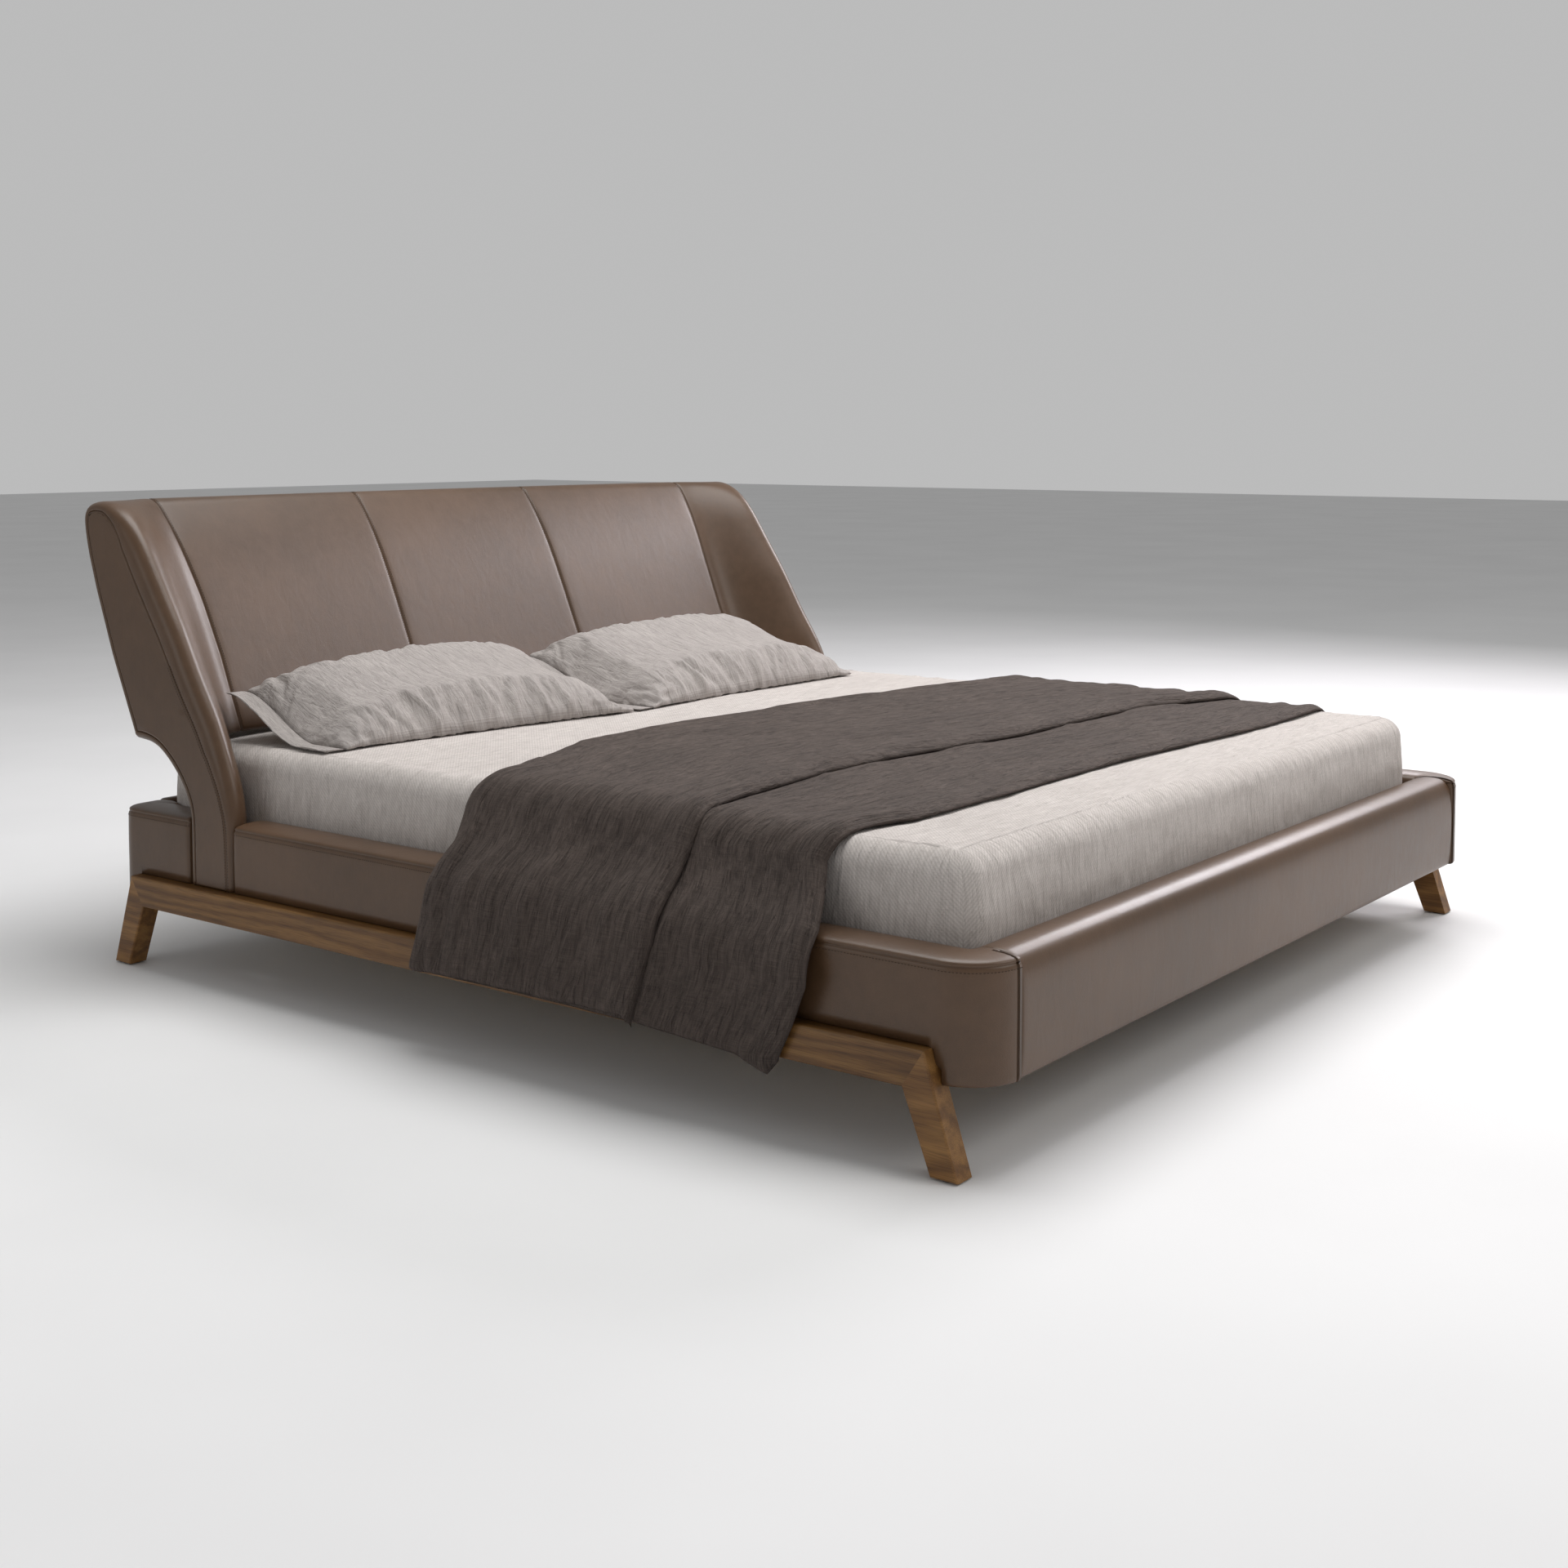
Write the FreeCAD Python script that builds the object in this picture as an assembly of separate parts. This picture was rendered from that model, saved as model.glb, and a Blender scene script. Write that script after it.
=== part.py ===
"""Upholstered platform bed with a winged, back-leaning headboard on a walnut leg frame.

Millimetres, +Z up. X runs across the bed and Y runs from the foot (-Y) to the head (+Y).
The origin is on the floor, under the middle of the bed. Each piece is written to parts/NODE.step.
Places along the bed are given as a distance from the face of the foot rail.
"""
import FreeCAD
import Part
import math
import os

from FreeCAD import Vector

# ---- driving dimensions -------------------------------------------------------------------
HEIGHT = 983.0               # floor to the top of the headboard
LEATHER_HALF = 1063.0        # middle to the leather outer face of a side rail
WALNUT_HALF = 1087.0         # middle to the outer face of the walnut frame
WELL_HALF = 966.0            # middle to the inner face of a side rail
RAIL_BOTTOM = 138.0
RAIL_TOP = 325.0             # stitched edge of the rails, below their crowned tops
RAIL_CROWN = 12.0            # rise of the padded top above that edge
FOOT_RAIL_DEPTH = 100.0
FOOT_CORNER_RADIUS = 95.0
HEAD_CORNER_RADIUS = 45.0
CORE_SETBACK = 12.0          # a side rail's core stays this far inside the rounded foot corner
RAIL_END = 2168.0            # rear end of the side rails
REAR_RAIL_DEPTH = 25.0

WALNUT_THICKNESS = 42.0
WALNUT_TOP = 195.0
WALNUT_BOTTOM = 133.0
WALNUT_START = 102.0         # top corner of the foot leg
WALNUT_END = 2098.0          # top corner of the head leg
LEG_SPLAY = 62.0             # how far a leg leans out between its top corner and the floor
LEG_INSET = 40.0             # top corner to the inner end of the mitre
LEG_FOOT_WIDTH = 50.0
GLIDE_HEIGHT = 3.0

MATTRESS_HALF = 962.0
MATTRESS_START = 106.0
MATTRESS_LENGTH = 2030.0
MATTRESS_TOP = 474.0
MATTRESS_CORNER = 60.0
MATTRESS_EDGE = 45.0
SHEET_THICKNESS = 2.0
SLAT_TOP = 228.0

NECK_FRONT = 1788.0          # front edge of a wing's leg
NECK_BACK = 1929.0           # rear edge of a wing's leg
HEADBOARD_BOTTOM = 482.0
HEADBOARD_THICKNESS = 70.0
FRONT_PAD = 35.0             # foam and leather in front of the headboard's board
BOARD = 18.0
GLUE_LINE = 0.5              # between the headboard's board and the padding on both sides
WING_SEAM_X = 866.0          # seam between the centre panels and a wing
INNER_SEAM_X = 291.0         # seams between the three centre panels
ROLL_RADIUS = HEADBOARD_THICKNESS / 2
ROLL_BASE = HEIGHT - ROLL_RADIUS
WING_BOARD = 25.0

THROW_START = 300.0
THROW_END = 1315.0
THROW_HALF = 1106.0
THROW_THICKNESS = 12.0
THROW_HEM = 125.0


def headboard_front(z):
    """Distance of the headboard's front surface at mid-width: it leans back and rolls away at the top."""
    rise = (z - 485.0) / 495.0
    return 2045.0 + 215.0 * rise + 40.0 * max(rise, 0.0) ** 6


LENGTH = headboard_front(ROLL_BASE) + HEADBOARD_THICKNESS
CONCAVE = 37.0 / WING_SEAM_X ** 2   # the front comes forward by this times x squared; the back is flat

os.makedirs("parts", exist_ok=True)
written = []


# ---- helpers ------------------------------------------------------------------------------
def place(distance):
    """Y of a point at this distance from the foot rail's face."""
    return distance - LENGTH / 2


def point(x, distance, z):
    return Vector(x, place(distance), z)


def box(x0, x1, d0, d1, z0, z1):
    """Box between two X values, two distances from the foot and two heights."""
    corner = point(min(x0, x1), d0, z0)
    return Part.makeBox(abs(x1 - x0), d1 - d0, z1 - z0, corner)


def rod(start, direction, radius, length):
    return Part.makeCylinder(radius, length, start, direction)


def polygon(points):
    return Part.makePolygon(points + [points[0]])


def prism(outline, x0, x1):
    """Solid between two X values from an outline of (distance, height) points."""
    face = Part.Face(polygon([point(x0, d, z) for d, z in outline]))
    return face.extrude(Vector(x1 - x0, 0, 0))


def mirror(shape):
    return shape.mirror(Vector(0, 0, 0), Vector(1, 0, 0))


def curve(points):
    spline = Part.BSplineCurve()
    spline.interpolate(points)
    return spline.toShape()


def line(a, b):
    return Part.makeLine(a, b)


def cut_away(shape, tools):
    """Shape less every tool, with seams between coplanar faces merged."""
    for tool in tools:
        shape = shape.cut(tool)
    return shape.removeSplitter()


def write(name, *solids):
    """Write one node; several solids make a group of like pieces."""
    pieces = [piece for solid in solids for piece in solid.Solids]
    shape = pieces[0] if len(pieces) == 1 else Part.makeCompound(pieces)
    assert shape.isValid() and shape.Volume > 0, name
    shape.exportStep("parts/%s.step" % name)
    written.append((name, len(pieces), shape))


def write_pair(name, shape):
    """Write the right-hand piece (+X) and its mirror image."""
    write(name + "_right", shape)
    write(name + "_left", mirror(shape))


def fillet_edges(shape, radius, choose):
    """Round the edges that choose(edge) picks."""
    edges = [edge for edge in shape.Edges if choose(edge)]
    return shape.makeFillet(radius, edges)


def runs_along(edge, axis):
    """True for a straight edge along the axis (0, 1 or 2)."""
    if len(edge.Vertexes) != 2 or edge.Curve.TypeId != "Part::GeomLine":
        return False
    span = edge.Vertexes[1].Point - edge.Vertexes[0].Point
    return abs(span[axis]) > 0.999 * span.Length


# ---- fasteners of the right-hand side, and the angles that some of them hold ---------------
CORE_X0 = 985.0
CORE_X1 = WALNUT_HALF - WALNUT_THICKNESS - WING_BOARD
ANGLE_LEG = 50.0
ANGLE_THICKNESS = 4.0
ANGLE_LOW = 142.0
ANGLE_HIGH = 178.0
rear_start = RAIL_END - REAR_RAIL_DEPTH


def bolt(seat, direction, radius, length, head_radius, head_height):
    """Pan-head bolt: the head's underside is at seat, and the shank runs along direction."""
    shank = rod(seat, direction, radius, length)
    head = rod(seat - direction * head_height, direction, head_radius, head_height)
    return shank.fuse(head).removeSplitter()


def corner_angle(corner, direction):
    """Steel angle in a corner of the well, one leaf on the side rail and one on the end rail."""
    ends = sorted((corner, corner + ANGLE_LEG * direction))
    leaf = sorted((corner, corner + ANGLE_THICKNESS * direction))
    side = box(WELL_HALF - ANGLE_THICKNESS, WELL_HALF, ends[0], ends[1], ANGLE_LOW, ANGLE_HIGH)
    end = box(WELL_HALF - ANGLE_LEG, WELL_HALF, leaf[0], leaf[1], ANGLE_LOW, ANGLE_HIGH)
    return side.fuse(end).removeSplitter()


outward = Vector(1, 0, 0)
ahead = Vector(0, 1, 0)
angle_middle = (ANGLE_LOW + ANGLE_HIGH) / 2
frame_bolts = [bolt(point(CORE_X0, d, 165.0), outward, 3.0, 90.0, 7.0, 4.0)
               for d in (260.0, 700.0, 1140.0, 1580.0, 2010.0)]
wing_bolts = [bolt(point(CORE_X0, d, z), outward, 4.0, 55.0, 9.0, 5.0)
              for d in (1835.0, 1885.0) for z in (180.0, 265.0)]
angle_bolts = []
for corner, direction, grip in ((FOOT_RAIL_DEPTH, 1, 60.0), (rear_start, -1, 18.0)):
    side_place = corner + 32.0 * direction
    end_place = corner + ANGLE_THICKNESS * direction
    seat = point(WELL_HALF - ANGLE_THICKNESS, side_place, angle_middle)
    angle_bolts.append(bolt(seat, outward, 3.0, 45.0, 6.0, 3.0))
    seat = point(WELL_HALF - 32.0, end_place, angle_middle)
    angle_bolts.append(bolt(seat, ahead * -direction, 3.0, grip, 6.0, 3.0))
angles = [corner_angle(FOOT_RAIL_DEPTH, 1), corner_angle(rear_start, -1)]


def headboard_screw(z):
    """Screw through a wing's board into the end of the headboard's board."""
    x = WALNUT_HALF - WALNUT_THICKNESS
    middle = FRONT_PAD + BOARD / 2
    distance = headboard_front(z) - CONCAVE * (x - 50.0) ** 2 + middle
    return bolt(point(x, distance, z), outward * -1, 3.0, 75.0, 6.0, 3.0)


headboard_screws = [headboard_screw(z) for z in (570.0, 700.0, 830.0)]
right_fasteners = frame_bolts + wing_bolts + angle_bolts + headboard_screws
for name, group in (("frame_bolts", frame_bolts), ("wing_bolts", wing_bolts),
                    ("angle_bolts", angle_bolts), ("headboard_screws", headboard_screws)):
    write(name, *(group + [mirror(piece) for piece in group]))
angles = [cut_away(angle, angle_bolts) for angle in angles]
write("corner_angles", *(angles + [mirror(angle) for angle in angles]))


# ---- walnut frames ------------------------------------------------------------------------
def mid_edge(edge):
    return edge.valueAt((edge.FirstParameter + edge.LastParameter) / 2)


def walnut_rail():
    outline = [
        (WALNUT_START, WALNUT_TOP),
        (WALNUT_END, WALNUT_TOP),
        (WALNUT_END - LEG_INSET, WALNUT_BOTTOM),
        (WALNUT_START + LEG_INSET, WALNUT_BOTTOM),
    ]
    rail = prism(outline, WALNUT_HALF - WALNUT_THICKNESS, WALNUT_HALF)

    def outer_lower(edge):
        return runs_along(edge, 1) and mid_edge(edge).x > WALNUT_HALF - 1

    return fillet_edges(rail, 4.0, outer_lower)


def walnut_leg(foot_end):
    """Splayed leg at the foot end or the head end, mitred to the rail."""
    outline = [
        (WALNUT_START, WALNUT_TOP),
        (WALNUT_START - LEG_SPLAY, GLIDE_HEIGHT),
        (WALNUT_START - LEG_SPLAY + LEG_FOOT_WIDTH, GLIDE_HEIGHT),
        (WALNUT_START + LEG_INSET, WALNUT_BOTTOM),
    ]
    if not foot_end:
        outline = [(WALNUT_START + WALNUT_END - d, z) for d, z in outline]
    leg = prism(outline, WALNUT_HALF - WALNUT_THICKNESS, WALNUT_HALF)
    mitre_middle = (WALNUT_TOP + WALNUT_BOTTOM) / 2

    def outer_long(edge):
        middle = mid_edge(edge)
        on_outer_face = middle.x > WALNUT_HALF - 1
        on_mitre = abs(middle.z - mitre_middle) < 1
        return on_outer_face and not on_mitre

    return fillet_edges(leg, 4.0, outer_long)


def mitre_dowels():
    """Two dowels across each mitre, level and along the bed."""
    length = 24.0
    dowels = []
    x = WALNUT_HALF - WALNUT_THICKNESS / 2
    for z in (150.0, 178.0):
        mitre = WALNUT_START + LEG_INSET * (WALNUT_TOP - z) / (WALNUT_TOP - WALNUT_BOTTOM)
        for middle in (mitre, WALNUT_START + WALNUT_END - mitre):
            dowels.append(rod(point(x, middle - length / 2, z), Vector(0, 1, 0), 4.0, length))
    return dowels


def leg_glides():
    glides = []
    x = WALNUT_HALF - WALNUT_THICKNESS / 2
    first = WALNUT_START - LEG_SPLAY + LEG_FOOT_WIDTH / 2
    for middle in (first, WALNUT_START + WALNUT_END - first):
        for side in (-1, 1):
            glides.append(rod(point(side * x, middle, 0), Vector(0, 0, 1), 14.0, GLIDE_HEIGHT))
    return glides


dowels_right = mitre_dowels()
walnut_right = [walnut_rail(), walnut_leg(True), walnut_leg(False)]
walnut_names = ["walnut_rail", "leg_foot", "leg_head"]
for name, shape in zip(walnut_names, walnut_right):
    write_pair(name, cut_away(shape, dowels_right + frame_bolts))
write("mitre_dowels", *(dowels_right + [mirror(dowel) for dowel in dowels_right]))
write("leg_glides", *leg_glides())


# ---- side rails and blocks ----------------------------------------------------------------
def rail_section(distance):
    """Closed outline of a side rail, with its crowned top, square to the bed's length."""
    crest = RAIL_TOP + RAIL_CROWN
    middle = (WELL_HALF + LEATHER_HALF) / 2
    a = point(WELL_HALF, distance, RAIL_BOTTOM)
    b = point(LEATHER_HALF, distance, RAIL_BOTTOM)
    c = point(LEATHER_HALF, distance, RAIL_TOP)
    d = point(WELL_HALF, distance, RAIL_TOP)
    top = Part.Arc(c, point(middle, distance, crest), d).toShape()
    return Part.Wire([line(a, b), line(b, c), top, line(d, a)])


def rail_envelope(start, end):
    return Part.Face(rail_section(start)).extrude(Vector(0, end - start, 0))


def rounded_corner(radius, start, end):
    """Block with one rounded vertical corner, to trim an end of a rail; start is the rounded end."""
    block = box(WELL_HALF - 200, LEATHER_HALF, min(start, end), max(start, end), 0, HEIGHT)
    corner = place(start)

    def outer_upright(edge):
        middle = mid_edge(edge)
        return runs_along(edge, 2) and middle.x > LEATHER_HALF - 1 and abs(middle.y - corner) < 1

    return fillet_edges(block, radius, outer_upright)


corner_trim = rounded_corner(FOOT_CORNER_RADIUS, 0.0, RAIL_END)
corner_trim.translate(Vector(-CORE_SETBACK, CORE_SETBACK, 0))
side_core = box(CORE_X0, CORE_X1, 15.0, RAIL_END - 15.0, RAIL_BOTTOM + 6, RAIL_TOP - 8).common(corner_trim)
rail_front = rail_envelope(0.0, NECK_FRONT - 1).common(rounded_corner(FOOT_CORNER_RADIUS, 0.0, 1900.0))
rail_rear = rail_envelope(NECK_BACK + 1, RAIL_END).common(
    rounded_corner(HEAD_CORNER_RADIUS, RAIL_END, 1800.0))
walnut_envelope = [shape.copy() for shape in walnut_right]
write_pair("side_rail_core", cut_away(side_core, right_fasteners))
write_pair("side_rail_cover", cut_away(rail_front, [side_core] + walnut_envelope + right_fasteners))
write_pair("rear_block_cover", cut_away(rail_rear, [side_core] + walnut_envelope + right_fasteners))


# ---- foot rail and rear rail --------------------------------------------------------------
def foot_rail_envelope():
    """Padded foot rail: its front bulges a little and its top is rolled."""
    x = -WELL_HALF
    crest = RAIL_TOP + RAIL_CROWN
    low = [point(x, FOOT_RAIL_DEPTH, RAIL_BOTTOM), point(x, 6.0, RAIL_BOTTOM)]
    front_middle = point(x, 0.0, (RAIL_BOTTOM + RAIL_TOP) / 2)
    front_top = point(x, 6.0, RAIL_TOP - 18)
    roll = point(x, 22.0, crest - 3)
    rear_top = point(x, FOOT_RAIL_DEPTH, RAIL_TOP)
    crown = point(x, 60.0, crest)
    edges = [
        line(low[0], low[1]),
        Part.Arc(low[1], front_middle, front_top).toShape(),
        Part.Arc(front_top, point(x, 10.5, crest - 14), roll).toShape(),
        Part.Arc(roll, crown, rear_top).toShape(),
        line(rear_top, low[0]),
    ]
    return Part.Face(Part.Wire(edges)).extrude(Vector(2 * WELL_HALF, 0, 0))


both_angle_bolts = angle_bolts + [mirror(piece) for piece in angle_bolts]
foot_core = box(-WELL_HALF + 1, WELL_HALF - 1, 34.0, 69.0, RAIL_BOTTOM + 6, RAIL_TOP - 8)
write("foot_rail_core", cut_away(foot_core, both_angle_bolts))
write("foot_rail_cover", cut_away(foot_rail_envelope(), [foot_core] + both_angle_bolts))

rear_envelope = box(-WELL_HALF, WELL_HALF, rear_start, RAIL_END, RAIL_BOTTOM, RAIL_TOP + 10)
rear_board = box(-WELL_HALF + 1, WELL_HALF - 1, rear_start + 6, RAIL_END - 6, RAIL_BOTTOM + 6, RAIL_TOP)
write("rear_rail_board", cut_away(rear_board, both_angle_bolts))
write("rear_rail_cover", cut_away(rear_envelope, [rear_board] + both_angle_bolts))


# ---- headboard ----------------------------------------------------------------------------
profile_heights = [HEADBOARD_BOTTOM, 600.0, 720.0, 840.0, ROLL_BASE]


def surface(x, z, depth):
    """Point in the headboard at this width and height, this deep behind its front surface."""
    return point(x, headboard_front(z) - CONCAVE * x * x + depth, z)


def upright(x, depth, heights):
    return curve([surface(x, z, depth) for z in heights])


def full_depth(x):
    """Depth from the front surface to the flat back at this width."""
    return HEADBOARD_THICKNESS + CONCAVE * x * x


def slice_profile(x, front, back, rolled):
    """Closed outline across the headboard between two depths, with or without the top roll."""
    back = full_depth(x) if back == HEADBOARD_THICKNESS else back
    rising = upright(x, front, profile_heights)
    falling = upright(x, back, profile_heights)
    low = line(surface(x, HEADBOARD_BOTTOM, front), surface(x, HEADBOARD_BOTTOM, back))
    near = surface(x, ROLL_BASE, front)
    far = surface(x, ROLL_BASE, back)
    if not rolled:
        return Part.Wire([rising, line(near, far), falling, low])
    end = surface(x, ROLL_BASE, full_depth(x))
    crest = surface(x, ROLL_BASE, full_depth(x) / 2) + Vector(0, 0, ROLL_RADIUS)
    roll = Part.Arc(near, crest, end).toShape()
    return Part.Wire([rising, roll, line(end, far), falling, low])


def headboard_slice(x0, x1, front, back, rolled=False):
    steps = 2 if x1 - x0 < 700 else 4
    sections = [slice_profile(x0 + (x1 - x0) * i / steps, front, back, rolled) for i in range(steps + 1)]
    return Part.makeLoft(sections, True, False)


board_half = WALNUT_HALF - WALNUT_THICKNESS - WING_BOARD
board_front = FRONT_PAD + GLUE_LINE
headboard_board = headboard_slice(-board_half, board_half, board_front, board_front + BOARD)
both_screws = headboard_screws + [mirror(piece) for piece in headboard_screws]
write("headboard_board", cut_away(headboard_board, both_screws))
back_start = board_front + BOARD + GLUE_LINE
back_cover = headboard_slice(-WING_SEAM_X, WING_SEAM_X, back_start, HEADBOARD_THICKNESS)
write("headboard_back_cover", back_cover)
panel_seams = [-WING_SEAM_X, -INNER_SEAM_X, INNER_SEAM_X, WING_SEAM_X]
for name, x0, x1 in zip(("left", "centre", "right"), panel_seams, panel_seams[1:]):
    write("headboard_panel_" + name, headboard_slice(x0, x1, 0.0, FRONT_PAD, rolled=True))


# ---- wings --------------------------------------------------------------------------------
RIDGE_X = 1045.0             # the front edge of a wing stands furthest forward here
# the front edge of a wing from the side: (distance, height)
wing_edge = [(1788, 340), (1800, 400), (1822, 455), (1861, 535), (1920, 623), (1978, 722),
             (2038, 810), (2098, 900), (2160, 956), (2215, 979)]


def between(table, z):
    """Distance at this height on an outline of (distance, height) points."""
    if z <= table[0][1]:
        return table[0][0]
    for (d0, z0), (d1, z1) in zip(table, table[1:]):
        if z <= z1:
            return d0 + (d1 - d0) * (z - z0) / (z1 - z0)
    return table[-1][0]


def roll_depth(z):
    """How far the top roll has turned away from the front surface at this height."""
    if z <= ROLL_BASE:
        return 0.0
    return ROLL_RADIUS - math.sqrt(ROLL_RADIUS ** 2 - (z - ROLL_BASE) ** 2)


# Rear contour of a wing's outer face, as (distance, height) pairs.
wing_back = [(2113, HEADBOARD_BOTTOM), (2139, 538), (2193, 654), (2247, 793), (2272, 870), (2280, 905),
             (2284, 950), (2282, 979)]


def wing_section(z):
    """Level outline of a wing above the headboard's bottom edge."""
    base = min(z, ROLL_BASE)
    turned = roll_depth(z) * full_depth(WING_SEAM_X) / HEADBOARD_THICKNESS
    seam = headboard_front(base) - CONCAVE * WING_SEAM_X ** 2 + turned
    back = headboard_front(base) + HEADBOARD_THICKNESS - turned
    ridge = min(between(wing_edge, z), seam - 4.0)
    front = []
    for share in (0.0, 0.2, 0.4, 0.6, 0.8, 1.0):
        x = WING_SEAM_X + (RIDGE_X - WING_SEAM_X) * share
        blend = math.sin(math.pi / 2 * (1.0 - share) ** 0.85) ** 2
        front.append(point(x, ridge + (seam - ridge) * blend, z))
    outer = point(LEATHER_HALF, ridge + 0.3 * (back - ridge), z)
    corner = point(LEATHER_HALF, min(back - 4.0, between(wing_back, z)), z)
    end = point(WING_SEAM_X, back, z)
    return Part.Wire([curve(front), line(front[-1], outer), line(outer, corner), line(corner, end),
                      line(end, front[0])])


neck_back = [(NECK_BACK, 340), (1938, 366), (1958, 402), (1984, 430), (2014, 455), (2050, 474),
             (2108, HEADBOARD_BOTTOM)]


def leg_section(z):
    """Level outline of a wing's leg, from the floor side up to the headboard's bottom edge."""
    ridge = between(wing_edge, z)
    back = between(neck_back, z)
    inner = WELL_HALF + 1
    front = [point(inner, ridge + 78, z), point(990, ridge + 46, z), point(1022, ridge + 14, z),
             point(RIDGE_X, ridge, z)]
    outer = point(LEATHER_HALF, ridge + 16, z)
    corner = point(LEATHER_HALF, back, z)
    end = point(inner, back, z)
    return Part.Wire([curve(front), line(front[-1], outer), line(outer, corner), line(corner, end),
                      line(end, front[0])])


def wing_envelope():
    upper_levels = [HEADBOARD_BOTTOM, 560.0, 640.0, 720.0, 800.0, 880.0, ROLL_BASE, 966.0, 979.0]
    upper = Part.makeLoft([wing_section(z) for z in upper_levels], True, False)
    shaft = Part.makeLoft([leg_section(z) for z in (RAIL_BOTTOM, 340.0)], True, True)
    neck_levels = (340.0, 366.0, 402.0, 430.0, 455.0, 474.0, HEADBOARD_BOTTOM)
    neck = Part.makeLoft([leg_section(z) for z in neck_levels], True, True)
    return upper.fuse(neck).fuse(shaft)


def wing_board():
    """Structural side panel inside a wing, from the rail up into the headboard."""
    outline = [(1812, RAIL_BOTTOM + 6), (1812, 345), (1850, 440), (1975, 640), (2110, 850), (2190, 920),
               (2235, 920), (2215, 800), (2170, 660), (2115, 530), (2085, 500), (2040, 492),
               (1985, 455), (1935, 410), (1908, 350), (1908, RAIL_BOTTOM + 6)]
    outer = WALNUT_HALF - WALNUT_THICKNESS
    return prism(outline, outer - WING_BOARD, outer)


board = wing_board()
wing = cut_away(wing_envelope(), [board, side_core, headboard_board] + walnut_envelope + right_fasteners)
write_pair("wing_board", cut_away(board, right_fasteners))
split = box(WALNUT_HALF - WALNUT_THICKNESS, LEATHER_HALF + 5, 1700, 2400, 0, HEIGHT + 5)
write_pair("wing_side_panel", wing.common(split))
write_pair("wing_cover", wing.cut(split))


# ---- slat support -------------------------------------------------------------------------
SLAT_COUNT = 14
SLAT_WIDTH = 68.0
SLAT_THICKNESS = 12.0
SLAT_FIRST = 160.0
SLAT_LAST = 2075.0
LEDGER = 30.0
BEAM_HALF = 30.0
BEAM_HEIGHT = 40.0
slat_bottom = SLAT_TOP - SLAT_THICKNESS
cap_bottom = slat_bottom - 4.0

ledger = box(WELL_HALF - LEDGER, WELL_HALF, 130.0, 2120.0, cap_bottom - LEDGER, cap_bottom)
write_pair("ledger", ledger)
beam = box(-BEAM_HALF, BEAM_HALF, FOOT_RAIL_DEPTH + 6, rear_start - 6, cap_bottom - BEAM_HEIGHT, cap_bottom)
beam_bore = box(-BEAM_HALF + 2, BEAM_HALF - 2, FOOT_RAIL_DEPTH, rear_start,
                cap_bottom - BEAM_HEIGHT + 2, cap_bottom - 2)
write("centre_beam", beam.cut(beam_bore))


def beam_bracket(plate_start, tray_start, tray_end):
    """Steel shoe that carries one end of the centre beam."""
    low = cap_bottom - BEAM_HEIGHT
    plate = box(-55.0, 55.0, plate_start, plate_start + 5, low - 15, cap_bottom)
    tray = box(-BEAM_HALF - 5, BEAM_HALF + 5, tray_start, tray_end, low - 5, low)
    return plate.fuse(tray).removeSplitter()


write("beam_brackets",
      beam_bracket(FOOT_RAIL_DEPTH, FOOT_RAIL_DEPTH + 5, FOOT_RAIL_DEPTH + 60),
      beam_bracket(rear_start - 5, rear_start - 60, rear_start - 5))

slats = []
side_caps = []
middle_caps = []
for index in range(SLAT_COUNT):
    start = SLAT_FIRST + (SLAT_LAST - SLAT_FIRST - SLAT_WIDTH) * index / (SLAT_COUNT - 1)
    slat = box(8.0, WELL_HALF - 6, start, start + SLAT_WIDTH, slat_bottom, SLAT_TOP)
    slats.append(slat)
    for caps, x0, x1 in ((side_caps, WELL_HALF - 28, WELL_HALF - 2), (middle_caps, 2.0, 28.0)):
        cap = box(x0, x1, start - 4, start + SLAT_WIDTH + 4, cap_bottom, SLAT_TOP - 1)
        caps.append(cap.cut(slat).removeSplitter())
write_pair("slats", Part.makeCompound(slats))
write_pair("slat_caps_side", Part.makeCompound(side_caps))
write_pair("slat_caps_middle", Part.makeCompound(middle_caps))

leg_top = cap_bottom - BEAM_HEIGHT
for name, middle in (("foot", 560.0), ("middle", 1120.0), ("head", 1680.0)):
    post = rod(point(0, middle, 30.0), Vector(0, 0, 1), 20.0, leg_top - 34)
    flange = rod(point(0, middle, leg_top - 4), Vector(0, 0, 1), 28.0, 4.0)
    bore = rod(point(0, middle, 30.0), Vector(0, 0, 1), 5.3, 50.0)
    write("centre_leg_" + name, post.fuse(flange).cut(bore).removeSplitter())
    pad = rod(point(0, middle, 0), Vector(0, 0, 1), 19.0, 10.0)
    stem = rod(point(0, middle, 10.0), Vector(0, 0, 1), 5.0, 50.0)
    write("centre_glide_" + name, pad.fuse(stem).removeSplitter())




# ---- mattress, sheet, pillows and throw ---------------------------------------------------
def rounded_slab(half, start, end, low, high, corner, edge_radius):
    """Slab with rounded upright corners and softened top edges."""
    slab = box(-half, half, start, end, low, high)
    slab = fillet_edges(slab, corner, lambda edge: runs_along(edge, 2))
    return fillet_edges(slab, edge_radius, lambda edge: abs(mid_edge(edge).z - high) < 0.1)


mattress_end = MATTRESS_START + MATTRESS_LENGTH
sheet_outer = rounded_slab(MATTRESS_HALF, MATTRESS_START, mattress_end, SLAT_TOP + 0.5, MATTRESS_TOP,
                           MATTRESS_CORNER, MATTRESS_EDGE)
inside = SHEET_THICKNESS
mattress = rounded_slab(MATTRESS_HALF - inside, MATTRESS_START + inside, mattress_end - inside,
                        SLAT_TOP, MATTRESS_TOP - inside, MATTRESS_CORNER - inside,
                        MATTRESS_EDGE - inside)
write("mattress", mattress)
write("fitted_sheet", sheet_outer.cut(mattress))


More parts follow.
